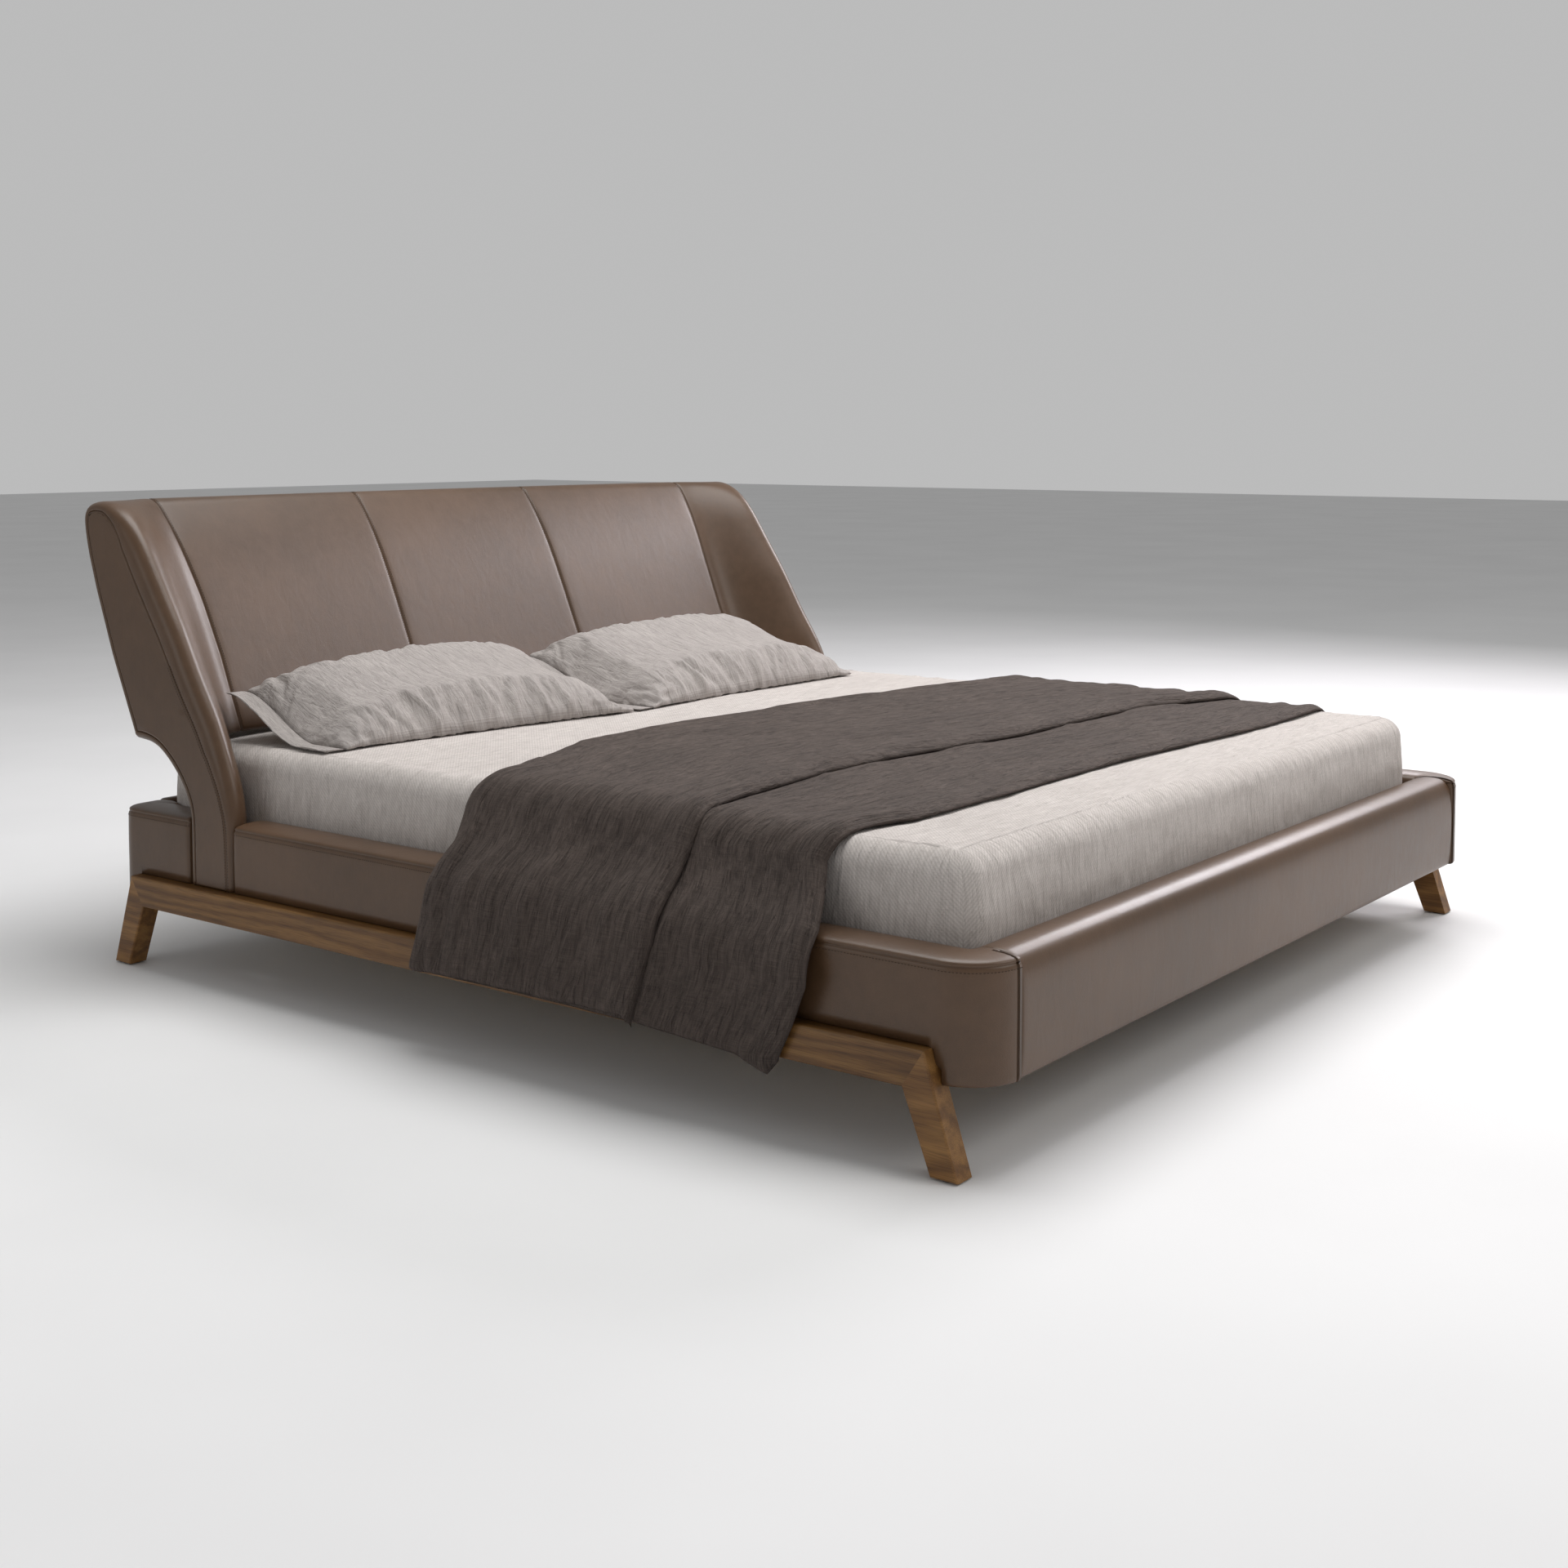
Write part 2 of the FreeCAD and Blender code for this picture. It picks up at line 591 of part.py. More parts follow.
def pillow(x0, x1, narrowing):
    """Pillow propped on the headboard; its end at x0 is seen turned in, so it is narrower by this share."""
    low = MATTRESS_TOP + 1.0
    outline = [(1570, low + 8), (1580, low), (1840, low), (1915, low + 22), (1985, low + 70),
               (1995, low + 92), (1970, low + 122), (1920, low + 148), (1840, low + 152),
               (1740, low + 128), (1650, low + 78)]

    def section(x, share):
        """The outline shrunk towards its own axis by this share."""
        width = 1.0 - narrowing * (x1 - x) / (x1 - x0)
        axis = [(1995 - (1995 - d) * width, z, low + 30 + max(d - 1800, 0) * 0.22) for d, z in outline]
        points = [point(x, d, middle + (z - middle) * share) for d, z, middle in axis]
        return polygon(points)

    ends = 130.0
    stations = [(x0, 0.25), (x0 + ends, 0.8), (x0 + 2.4 * ends, 1.0), (x1 - 2.4 * ends, 1.0),
                (x1 - ends, 0.8), (x1, 0.25)]
    return Part.makeLoft([section(x, share) for x, share in stations], True, True)


write("pillow_left", pillow(-915.0, -75.0, 0.22))
write("pillow_right", pillow(-65.0, 815.0, 0.0))


def throw():
    """Folded throw laid across the bed, hanging clear of both side rails."""
    rise = MATTRESS_TOP + 1.5
    under = [(0.0, rise), (MATTRESS_HALF - 40, rise), (MATTRESS_HALF - 12, rise - 9.5),
             (MATTRESS_HALF + 4, rise - 35), (THROW_HALF - 34, RAIL_TOP + 38),
             (THROW_HALF - THROW_THICKNESS, RAIL_TOP - 35), (THROW_HALF - THROW_THICKNESS, THROW_HEM)]
    over = [(0.0, rise + THROW_THICKNESS), (MATTRESS_HALF - 36, rise + THROW_THICKNESS),
            (MATTRESS_HALF - 4, rise + 1.5), (MATTRESS_HALF + 14, rise - 26),
            (THROW_HALF - 23, RAIL_TOP + 46), (THROW_HALF, RAIL_TOP - 33), (THROW_HALF, THROW_HEM)]
    face = Part.Face(polygon([point(x, THROW_START, z) for x, z in over + under[::-1]]))
    half = face.extrude(Vector(0, THROW_END - THROW_START, 0))
    return half.fuse(mirror(half)).removeSplitter()


write("throw", throw())

for name, count, shape in written:
    bounds = shape.optimalBoundingBox()
    print("%-26s %2d solids  %8.0f cm3  x %6.0f %6.0f  y %6.0f %6.0f  z %5.0f %5.0f" % (
        name, count, shape.Volume / 1000, bounds.XMin, bounds.XMax, bounds.YMin, bounds.YMax,
        bounds.ZMin, bounds.ZMax))
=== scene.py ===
import math

import bmesh
import bpy
import numpy as np
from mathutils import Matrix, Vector
from mathutils.kdtree import KDTree


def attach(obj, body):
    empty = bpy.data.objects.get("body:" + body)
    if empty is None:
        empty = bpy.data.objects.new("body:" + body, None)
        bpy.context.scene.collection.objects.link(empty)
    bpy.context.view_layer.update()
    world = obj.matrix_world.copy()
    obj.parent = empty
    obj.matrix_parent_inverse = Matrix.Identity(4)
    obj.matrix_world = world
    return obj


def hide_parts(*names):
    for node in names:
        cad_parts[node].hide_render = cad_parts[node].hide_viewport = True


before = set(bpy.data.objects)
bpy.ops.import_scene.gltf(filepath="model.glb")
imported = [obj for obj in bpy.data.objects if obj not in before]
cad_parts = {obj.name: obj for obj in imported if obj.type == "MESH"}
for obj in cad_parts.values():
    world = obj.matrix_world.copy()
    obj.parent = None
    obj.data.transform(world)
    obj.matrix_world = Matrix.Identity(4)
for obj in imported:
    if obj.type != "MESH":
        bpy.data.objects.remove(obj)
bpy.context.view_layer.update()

# Lengths are in millimetres until a mesh is made. A place along the bed is a distance d from the
# face of the foot rail, and the row frame's Y is d less half the length.
LENGTH = 2342.956
HEIGHT = 983.0
LEATHER = 1063.0             # middle to the leather face of a side rail and a wing
WELL = 966.0                 # middle to the inner face of a side rail
WALNUT_INSIDE = 1044.0       # the leather stays inside this behind the walnut
WALNUT_TOP = 195.0
MATTRESS_HALF = 962.0
MATTRESS_START = 106.0
MATTRESS_END = 2136.0
MATTRESS_TOP = 474.0
SEAM_X = 866.0
INNER_SEAM_X = 291.0
CONCAVE = 37.0 / SEAM_X ** 2
HEAD_BOTTOM = 482.0
HEAD_DEPTH = 70.0            # thickness of the headboard at mid-width
REAR_FACE = 2168.0           # rear face of the rear blocks
WALNUT_SHADOW = 194.5        # below this height the leather lies behind the walnut
PANEL_BOTTOM = 196.0         # the wings' side panels end just above this
SEAM_INSET = 4.5             # how far padding is drawn in at a seam
SEAM_REACH = 2.6             # how quickly it swells again beside the seam
SIDES = (("right", 1.0), ("left", -1.0))


# ---- meshes -------------------------------------------------------------------------------
def to_metres(points):
    """Points (x, d, z) in millimetres as row-frame coordinates in metres."""
    points = np.asarray(points, float).reshape(-1, 3)
    return (points - [0.0, LENGTH / 2, 0.0]) * 0.001


def unit(vectors):
    length = np.linalg.norm(vectors, axis=-1, keepdims=True)
    return vectors / np.maximum(length, 1e-9)


def grid_normals(grid):
    """Unit normals of a grid of points, from the differences of its rows and columns."""
    return unit(np.cross(np.gradient(grid, axis=0), np.gradient(grid, axis=1)))


def add_object(name, data):
    piece = bpy.data.objects.new(name, data)
    bpy.context.scene.collection.objects.link(piece)
    return piece


class Skin:
    """Patches that are welded into one mesh."""

    def __init__(self):
        self.points = []
        self.faces = []
        self.uvs = []
        self.count = 0

    def patch(self, grid, uv=None, wrap=False):
        """Add a grid of points; wrap joins its last column to its first."""
        rows, columns = grid.shape[:2]
        last = columns if wrap else columns - 1
        for i in range(rows - 1):
            for j in range(last):
                k = (j + 1) % columns
                a = self.count + i * columns
                b = a + columns
                self.faces.append((a + j, a + k, b + k, b + j))
        self.points.append(grid.reshape(-1, 3))
        self.uvs.append(np.zeros((rows * columns, 2)) if uv is None else uv.reshape(-1, 2))
        self.count += rows * columns

    def polygon(self, loop):
        """Add one flat face with these corners."""
        self.faces.append(tuple(range(self.count, self.count + len(loop))))
        self.points.append(loop)
        self.uvs.append(np.zeros((len(loop), 2)))
        self.count += len(loop)

    def tube(self, rings):
        """Add closed rings with a flat face at each end."""
        self.patch(rings, wrap=True)
        self.polygon(rings[0])
        self.polygon(rings[-1])

    def pocket(self, upper, lower, flat):
        """Add two grids that meet along their outer edges, such as a pillow's two faces."""
        lower[[0, -1], :] = upper[[0, -1], :]
        lower[:, [0, -1]] = upper[:, [0, -1]]
        self.patch(upper, flat)
        self.patch(lower, flat)

    def object(self, name, material, weld=0.05, outward=True, closed=False):
        """Weld the patches into a smooth object; closed makes sure that its normals point out."""
        mesh = bpy.data.meshes.new(name)
        points = to_metres(np.vstack(self.points))
        mesh.from_pydata(points.tolist(), [], self.faces)
        layer = mesh.uv_layers.new(name="cloth")
        uvs = np.vstack(self.uvs)
        corners = np.zeros(len(mesh.loops), np.int32)
        mesh.loops.foreach_get("vertex_index", corners)
        layer.data.foreach_set("uv", (uvs[corners] * 0.001).ravel())
        made = bmesh.new()
        made.from_mesh(mesh)
        bmesh.ops.remove_doubles(made, verts=made.verts, dist=weld * 0.001)
        if outward:
            bmesh.ops.recalc_face_normals(made, faces=made.faces)
        if closed and made.calc_volume(signed=True) < 0:
            bmesh.ops.reverse_faces(made, faces=made.faces)
        for face in made.faces:
            face.smooth = True
        made.to_mesh(mesh)
        made.free()
        mesh.materials.append(material)
        return add_object(name, mesh)


def place(piece, body, slot, *nodes):
    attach(piece, body)
    if nodes:
        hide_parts(*nodes)
    return piece


def run_along(path):
    """Distance along a polyline at each of its points."""
    return np.concatenate([[0.0], np.cumsum(np.linalg.norm(np.diff(path, axis=0), axis=1))])


def resample(path, spacing=None, count=None):
    """Points evenly along a polyline."""
    path = np.asarray(path, float)
    along = run_along(path)
    if count is None:
        count = max(int(round(along[-1] / spacing)) + 1, 2)
    wanted = np.linspace(0.0, along[-1], count)
    return np.stack([np.interp(wanted, along, path[:, k]) for k in range(path.shape[1])], axis=1)


def rounded(path, times=3):
    """A polyline with its corners cut, keeping both ends."""
    path = np.asarray(path, float)
    for _ in range(times):
        first = path[:-1] * 0.75 + path[1:] * 0.25
        second = path[:-1] * 0.25 + path[1:] * 0.75
        middle = np.empty((2 * len(first), path.shape[1]))
        middle[0::2] = first
        middle[1::2] = second
        path = np.vstack([path[:1], middle, path[-1:]])
    return path


def inset_loop(loop, amount):
    """A closed 2-D loop moved inward along its normals."""
    ahead = np.roll(loop, -1, axis=0) - np.roll(loop, 1, axis=0)
    normal = unit(np.stack([-ahead[:, 1], ahead[:, 0]], axis=1))
    area = np.sum(loop[:, 0] * np.roll(loop[:, 1], -1) - np.roll(loop[:, 0], -1) * loop[:, 1])
    return loop + normal * amount * (1.0 if area > 0 else -1.0)


def ruled(first, second, count=8):
    """Grid of straight columns from one edge to another that has as many points."""
    share = np.linspace(0.0, 1.0, count)[:, None, None]
    return first[None] * (1 - share) + second[None] * share


def at_x(x, points):
    """Points (d, height) as points (x, d, height)."""
    return np.hstack([np.full((len(points), 1), x), points])


def between(table, z):
    """Place along the bed at height z, from a table of (d, height) points."""
    places, heights = zip(*table)
    return np.interp(z, heights, places)


def smooth_step(value, low, high):
    share = np.clip((value - low) / (high - low), 0.0, 1.0)
    return share * share * (3.0 - 2.0 * share)


# ---- materials ----------------------------------------------------------------------------
def set_inputs(node, values):
    for key, value in values.items():
        node.inputs[key.replace("_", " ")].default_value = value


class Shader:
    """A small builder for node materials."""

    def __init__(self, name, roughness=0.5, **values):
        self.material = bpy.data.materials.new(name)
        self.material.use_nodes = True
        self.tree = self.material.node_tree
        self.bsdf = self.tree.nodes["Principled BSDF"]
        set_inputs(self.bsdf, {"Roughness": roughness, **values})
        self.coordinates = self.tree.nodes.new("ShaderNodeTexCoord")

    def link(self, output, target):
        self.tree.links.new(output, target)

    def node(self, kind, vector, **values):
        made = self.tree.nodes.new("ShaderNode" + kind)
        self.link(vector, made.inputs["Vector"])
        set_inputs(made, values)
        return made

    def mapped(self, source="Object", scale=(1, 1, 1), turn=(0, 0, 0)):
        vector = self.coordinates.outputs[source]
        return self.node("Mapping", vector, Scale=scale, Rotation=turn).outputs["Vector"]

    def noise(self, vector, scale, detail=2.0, roughness=0.5, distortion=0.0):
        return self.node("TexNoise", vector, Scale=scale, Detail=detail, Roughness=roughness,
                         Distortion=distortion).outputs["Fac"]

    def cells(self, vector, scale):
        return self.node("TexVoronoi", vector, Scale=scale).outputs["Distance"]

    def waves(self, vector, scale, direction, distortion, detail, detail_scale):
        made = self.node("TexWave", vector, Scale=scale, Distortion=distortion, Detail=detail,
                         Detail_Scale=detail_scale)
        made.bands_direction = direction
        return made.outputs["Fac"]

    def ramp(self, value, *stops):
        """Colours at positions between 0 and 1; each stop is (position, colour)."""
        made = self.tree.nodes.new("ShaderNodeValToRGB")
        elements = made.color_ramp.elements
        while len(elements) < len(stops):
            elements.new(0.5)
        for element, (position, colour) in zip(elements, stops):
            element.position = position
            element.color = (*colour, 1.0)
        self.link(value, made.inputs["Fac"])
        return made.outputs["Color"]

    def feed(self, made, values):
        """Fill a node's inputs in order, each with a number or a link."""
        for socket, value in zip(made.inputs, values):
            if isinstance(value, (int, float)):
                socket.default_value = value
            else:
                self.link(value, socket)

    def math(self, operation, a, b):
        made = self.tree.nodes.new("ShaderNodeMath")
        made.operation = operation
        self.feed(made, (a, b))
        return made.outputs["Value"]

    def scaled(self, value, factor, offset):
        return self.math("ADD", self.math("MULTIPLY", value, factor), offset)

    def blend(self, kind, factor, a, b):
        made = self.tree.nodes.new("ShaderNodeMixRGB")
        made.blend_type = kind
        self.feed(made, (factor, a, b))
        return made.outputs["Color"]

    def bump(self, height, strength, distance, after=None):
        made = self.tree.nodes.new("ShaderNodeBump")
        set_inputs(made, {"Strength": strength, "Distance": distance})
        self.link(height, made.inputs["Height"])
        if after is not None:
            self.link(after, made.inputs["Normal"])
        return made.outputs["Normal"]

    def finish(self, colour, roughness, normal):
        for name, output in (("Base Color", colour), ("Roughness", roughness), ("Normal", normal)):
            if output is not None:
                self.link(output, self.bsdf.inputs[name])
        return self.material


WHITE = (1.0, 1.0, 1.0)
BLACK = (0.0, 0.0, 0.0)


def leather_material(name, dark, light):
    """Satin leather: slow colour drift, fine pebbled grain and a few soft stretch marks."""
    s = Shader(name, Specular_IOR_Level=0.42, Coat_Weight=0.16, Coat_Roughness=0.24)
    vector = s.mapped()
    drift = s.noise(vector, 3.0, 3.0, 0.55)
    mottle = s.noise(vector, 38.0, 3.0, 0.6)
    grain = s.cells(vector, 620.0)
    pores = s.noise(vector, 900.0, 2.0, 0.6)
    mixed = s.scaled(drift, 0.7, s.math("MULTIPLY", mottle, 0.3))
    colour = s.ramp(mixed, (0.36, dark), (0.62, light))
    colour = s.blend("MULTIPLY", 0.22, colour, s.ramp(grain, (0.0, WHITE), (0.85, (0.55, 0.52, 0.5))))
    fine = s.bump(s.scaled(pores, 0.6, grain), 0.16, 0.0006)
    stretch = s.noise(s.mapped(scale=(1.0, 1.0, 0.35)), 34.0, 3.0, 0.6, 0.6)
    return s.finish(colour, s.scaled(mottle, 0.12, 0.33), s.bump(stretch, 0.10, 0.004, fine))


def walnut_material(name, lean, tone_up=1.0):
    """Oiled walnut whose grain runs along Y, turned about X by lean for the legs."""
    s = Shader(name, Specular_IOR_Level=0.4)
    turn = (lean, 0, 0)
    along = s.mapped(scale=(1.0, 0.09, 1.0), turn=turn)
    rings = s.waves(along, 14.0, "Z", 9.0, 4.0, 1.6)
    streaks = s.noise(s.mapped(scale=(60.0, 2.2, 60.0), turn=turn), 1.0, 5.0, 0.65, 0.3)
    pores = s.noise(s.mapped(scale=(700.0, 18.0, 700.0), turn=turn), 1.0)
    broad = s.noise(along, 7.0)
    shades = [tuple(tone_up * value for value in shade)
              for shade in ((0.115, 0.053, 0.014), (0.162, 0.08, 0.022), (0.195, 0.1, 0.03))]
    base = s.ramp(rings, *zip((0.0, 0.45, 1.0), shades))
    tone = s.ramp(streaks, (0.32, (0.45, 0.4, 0.36)), (0.6, WHITE))
    pitted = s.ramp(pores, (0.36, (0.35, 0.3, 0.26)), (0.5, WHITE))
    drift = s.ramp(broad, (0.3, (0.35, 0.33, 0.3)), (0.7, (0.7, 0.66, 0.6)))
    colour = s.blend("MULTIPLY", 0.5, s.blend("MULTIPLY", 0.55, base, tone), pitted)
    colour = s.blend("OVERLAY", 0.35, colour, drift)
    return s.finish(colour, s.scaled(streaks, 0.18, 0.36), s.bump(pores, 0.25, 0.0005))


def plain_wood_material(name, dark, light, stretch):
    """Light timber with its grain along the axis whose stretch is smallest."""
    s = Shader(name)
    grain = s.noise(s.mapped(scale=stretch), 1.0, 4.0, 0.6, 0.4)
    fine = s.noise(s.mapped(scale=tuple(6 * value for value in stretch)), 1.0)
    colour = s.ramp(grain, (0.3, dark), (0.68, light))
    colour = s.blend("MULTIPLY", 0.4, colour, s.ramp(fine, (0.3, (0.7, 0.66, 0.6)), (0.55, WHITE)))
    return s.finish(colour, s.scaled(grain, 0.2, 0.42), s.bump(fine, 0.2, 0.0004))


def steel_material(name, colour, metallic, roughness):
    """Plated or coated steel with a faint mottled surface."""
    s = Shader(name, Metallic=metallic)
    mottle = s.noise(s.mapped(), 160.0, 3.0, 0.6)
    shade = s.ramp(mottle, (0.3, tuple(0.8 * value for value in colour)), (0.7, colour))
    rough = s.scaled(mottle, 0.18, roughness - 0.09)
    return s.finish(shade, rough, s.bump(s.noise(s.mapped(), 1400.0), 0.12, 0.0003))


def plastic_material(name, colour):
    """Moulded plastic with a fine spark-eroded texture."""
    s = Shader(name)
    texture = s.noise(s.mapped(), 1800.0, 2.0, 0.6)
    shade = s.ramp(texture, (0.3, tuple(0.7 * value for value in colour)), (0.7, colour))
    return s.finish(shade, s.scaled(texture, 0.2, 0.4), s.bump(texture, 0.2, 0.0003))


WEAVE_SCALE = 1150.0 / 6.2832
TWILL_SCALE = 57.5


def linen_material(name, dark, light, crease, twill=0.0, sheen=0.25):
    """Washed linen: warp and weft threads, thick and thin yarns, and fine crushed creases along V, whose
    pattern is also painted into the colour as crease shade.
    """
    tint = (*[min(1.0, 1.3 * value) for value in light], 1.0)
    s = Shader(name, 0.85, Specular_IOR_Level=0.25, Sheen_Weight=sheen, Sheen_Roughness=0.45,
               Sheen_Tint=tint)

    def streaks(scale, detail, roughness, distortion=0.0):
        return s.noise(s.mapped("UV", scale=scale), 1.0, detail, roughness, distortion)

    flat = s.mapped("UV")
    weave = s.math("MULTIPLY", *[s.waves(flat, WEAVE_SCALE, way, 1.2, 1.0, 0.6) for way in "XY"])
    thick = streaks((900.0, 22.0, 1.0), 2.0, 0.6)
    thin = streaks((22.0, 900.0, 1.0), 2.0, 0.6)
    yarn = s.scaled(thick, 0.5, s.math("MULTIPLY", thin, 0.5))
    crease_bump_and_shade = streaks((120.0, 26.0, 1.0), 3.0, 0.55, 0.9)
    ridges = streaks((52.0, 9.0, 1.0), 4.0, 0.62, 0.9)
    cloud = streaks((7.0, 5.0, 1.0), 3.0, 0.55)
    lines = s.math("ABSOLUTE", s.math("SUBTRACT", ridges, 0.5), 0.0)
    folds = s.ramp(lines, (0.0, WHITE), (0.09, BLACK))
    # the crushed-crease pattern also lightens and darkens the colour: painted crease shade, on top of the
    # yarns' own tone
    tone = s.scaled(yarn, 0.56, s.math("MULTIPLY", crease_bump_and_shade, 0.3))
    tone = s.math("ADD", tone, s.math("MULTIPLY", cloud, 0.14))
    colour = s.ramp(tone, (0.38, dark), (0.6, light))
    colour = s.blend("MULTIPLY", 0.4, colour, s.ramp(weave, (0.0, (0.6, 0.58, 0.56)), (0.5, WHITE)))
    if twill:
        diagonal = s.waves(s.mapped("UV", turn=(0, 0, 0.785)), TWILL_SCALE, "X", 1.2, 1.0, 2.0)
        shaded = s.ramp(diagonal, (0.2, (0.6, 0.58, 0.57)), (0.7, WHITE))
        colour = s.blend("MULTIPLY", twill, colour, shaded)
    normal = None
    for height, strength, distance in ((weave, 0.4, 0.0004), (yarn, 0.5, 0.0009), (crease_bump_and_shade, crease, 0.0045),
                                       (folds, 0.55 * crease, 0.0012), (ridges, crease, 0.011)):
        normal = s.bump(height, strength, distance, normal)
    return s.finish(colour, None, normal)


leather = leather_material("leather_taupe", (0.078, 0.041, 0.019), (0.108, 0.058, 0.029))
thread = linen_material("thread_brown", (0.05, 0.03, 0.019), (0.08, 0.052, 0.034), 0.1, sheen=0.0)
walnut_rail = walnut_material("walnut_along", 0.0)
walnut_foot = walnut_material("walnut_foot_leg", 1.26, 1.5)
walnut_head = walnut_material("walnut_head_leg", -1.26, 1.4)
plywood = plain_wood_material("plywood_sanded", (0.42, 0.29, 0.17), (0.6, 0.45, 0.29), (90.0, 4.0, 90.0))
slat_wood = plain_wood_material("slat_beech", (0.55, 0.4, 0.24), (0.72, 0.56, 0.37), (4.0, 90.0, 90.0))
zinc = steel_material("steel_zinc", (0.55, 0.55, 0.57), 1.0, 0.35)
coated = steel_material("steel_coated", (0.04, 0.04, 0.043), 0.0, 0.45)
plastic = plastic_material("plastic_black", (0.03, 0.03, 0.032))
sheet_linen = linen_material("linen_sheet", (0.53, 0.488, 0.46), (0.75, 0.7, 0.665), 0.5, twill=0.34)
pillow_linen = linen_material("linen_pillow", (0.31, 0.282, 0.268), (0.49, 0.452, 0.43), 0.55)
throw_linen = linen_material("linen_throw", (0.03, 0.0222, 0.0188), (0.112, 0.087, 0.075), 0.8, sheen=0.3)
ticking = linen_material("ticking_white", (0.55, 0.53, 0.5), (0.72, 0.7, 0.67), 0.15)


# ---- hard parts keep their shape ------------------------------------------------------------
def finish_nodes(material, *names):
    for name in names:
        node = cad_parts[name]
        node.data.materials.clear()
        node.data.materials.append(material)


def both(*stems):
    return [stem + side for stem in stems for side, _ in SIDES]


def centre_row(stem):
    return [stem + spot for spot in ("foot", "middle", "head")]


finish_nodes(walnut_rail, *both("walnut_rail_"))
finish_nodes(walnut_foot, *both("leg_foot_"))
finish_nodes(walnut_head, *both("leg_head_"))
finish_nodes(plywood, "foot_rail_core", "rear_rail_board", "headboard_board", "mitre_dowels",
             *both("side_rail_core_", "wing_board_", "ledger_"))
finish_nodes(slat_wood, *both("slats_"))
finish_nodes(plastic, "leg_glides", *centre_row("centre_glide_"),
             *both("slat_caps_side_", "slat_caps_middle_"))
finish_nodes(zinc, "frame_bolts", "wing_bolts", "angle_bolts", "headboard_screws", "corner_angles",
             "beam_brackets")
finish_nodes(coated, "centre_beam", *centre_row("centre_leg_"))


# ---- stitching ----------------------------------------------------------------------------
stitch_runs = []


def stitch_along(path, normals, lift=0.25, pitch=6.0, length=4.2):
    """Note one run of stitches on a surface path, in millimetres."""
    joined = resample(np.hstack([path, normals]), spacing=pitch)
    points = joined[:, :3]
    upward = unit(joined[:, 3:])
    ahead = unit(np.gradient(points, axis=0))
    stitch_runs.append((points + upward * lift, ahead * length / 2, upward))


def stitches(name, radius=0.55):
    """One mesh of every noted stitch: a small tapered thread that dips at both ends."""
    points = []
    faces = []
    for centres, halves, upward in stitch_runs:
        for centre, half, up in zip(centres, halves, upward):
            side = np.cross(half, up)
            side = side / max(np.linalg.norm(side), 1e-9) * radius
            rise = up * radius
            start = len(points)
            points.append(centre - half - rise * 0.9)
            for end in (-0.62, 0.62):
                for turn in range(6):
                    angle = math.pi * turn / 3
                    points.append(centre + half * end + side * math.cos(angle) + rise * math.sin(angle))
            points.append(centre + half - rise * 0.9)
            for turn in range(6):
                following = (turn + 1) % 6
                faces.append((start, start + 1 + following, start + 1 + turn))
                faces.append((start + 1 + turn, start + 1 + following,
                              start + 7 + following, start + 7 + turn))
                faces.append((start + 7 + turn, start + 7 + following, start + 13))
    mesh = bpy.data.meshes.new(name)
    mesh.from_pydata(to_metres(points).tolist(), [], faces)
    mesh.shade_smooth()
    mesh.materials.append(thread)
    return add_object(name, mesh)


# ---- side rails, blocks, foot rail and rear rail --------------------------------------------
def rail_loop():
    """Section of a side rail as (outward offset, height), from the outer bottom edge up and round."""
    side = [(0.0, 143.0), (0.0, 150.0), (0.0, 170.0), (0.0, 193.5), (0.0, 196.5), (0.0, 215.0),
            (0.2, 240.0), (0.3, 265.0), (0.2, 290.0), (0.0, 308.0), (-0.2, 316.0), (-0.8, 320.5),
            (-2.2, 323.2), (-3.6, 324.4), (-2.8, 325.6), (-2.0, 327.0), (-3.2, 329.6), (-7.0, 331.8)]
    top = [(-14.0, 333.8), (-24.0, 335.4), (-36.0, 336.5), (-48.0, 337.0), (-60.0, 336.6),
           (-72.0, 335.2), (-82.0, 332.8), (-90.0, 329.2), (-94.5, 325.0), (-96.5, 319.0)]
    inner = [(-97.0, 300.0), (-97.0, 240.0), (-97.0, 180.0), (-97.0, 146.0), (-95.5, 140.5),
             (-90.0, 138.3), (-60.0, 138.0), (-30.0, 138.0), (-8.0, 138.3), (-2.0, 140.0)]
    return np.array(side + top + inner)


def behind_walnut(d, z, margin=6.0):
    """True where a point of the leather's outer face lies behind the walnut frame."""
    lean = 62.0 * (WALNUT_TOP - z) / WALNUT_TOP
    return z < WALNUT_SHADOW and 102.0 - lean + margin < d < 2098.0 + lean - margin


def swept_rail(loop, path, normals):
    """Grid of a rail's section carried along a plan path, drawn in at both ends, where seams are."""
    along = run_along(path)
    grid = []
    for index, (point, normal) in enumerate(zip(path, normals)):
        to_end = min(along[index], along[-1] - along[index])
        section = inset_loop(loop, SEAM_INSET * math.exp(-to_end / SEAM_REACH))
        ring = []
        for offset, z in section:
            x = point[0] + normal[0] * offset
            d = point[1] + normal[1] * offset
            if behind_walnut(d, z):
                x = min(x, WALNUT_INSIDE)
            ring.append((x, d, z))
        grid.append(ring)
    return np.array(grid)


def stations(start, end, fine_start=True, fine_end=True, coarse=12.0):
    """Places along a straight run, closer together at its ends."""
    edge = [0.0, 0.8, 1.8, 3.0, 4.5, 6.5, 9.0, 13.0, 20.0]
    length = abs(end - start)
    inner = list(np.linspace(0.0, length, max(int(length / coarse), 2) + 1))
    if fine_start:
        inner = edge + [value for value in inner if value > 24.0]
    if fine_end:
        inner = [value for value in inner if value < length - 24.0]
        inner += [length - value for value in edge[::-1]]
    direction = 1.0 if end > start else -1.0
    return np.array(sorted(start + direction * value for value in inner))


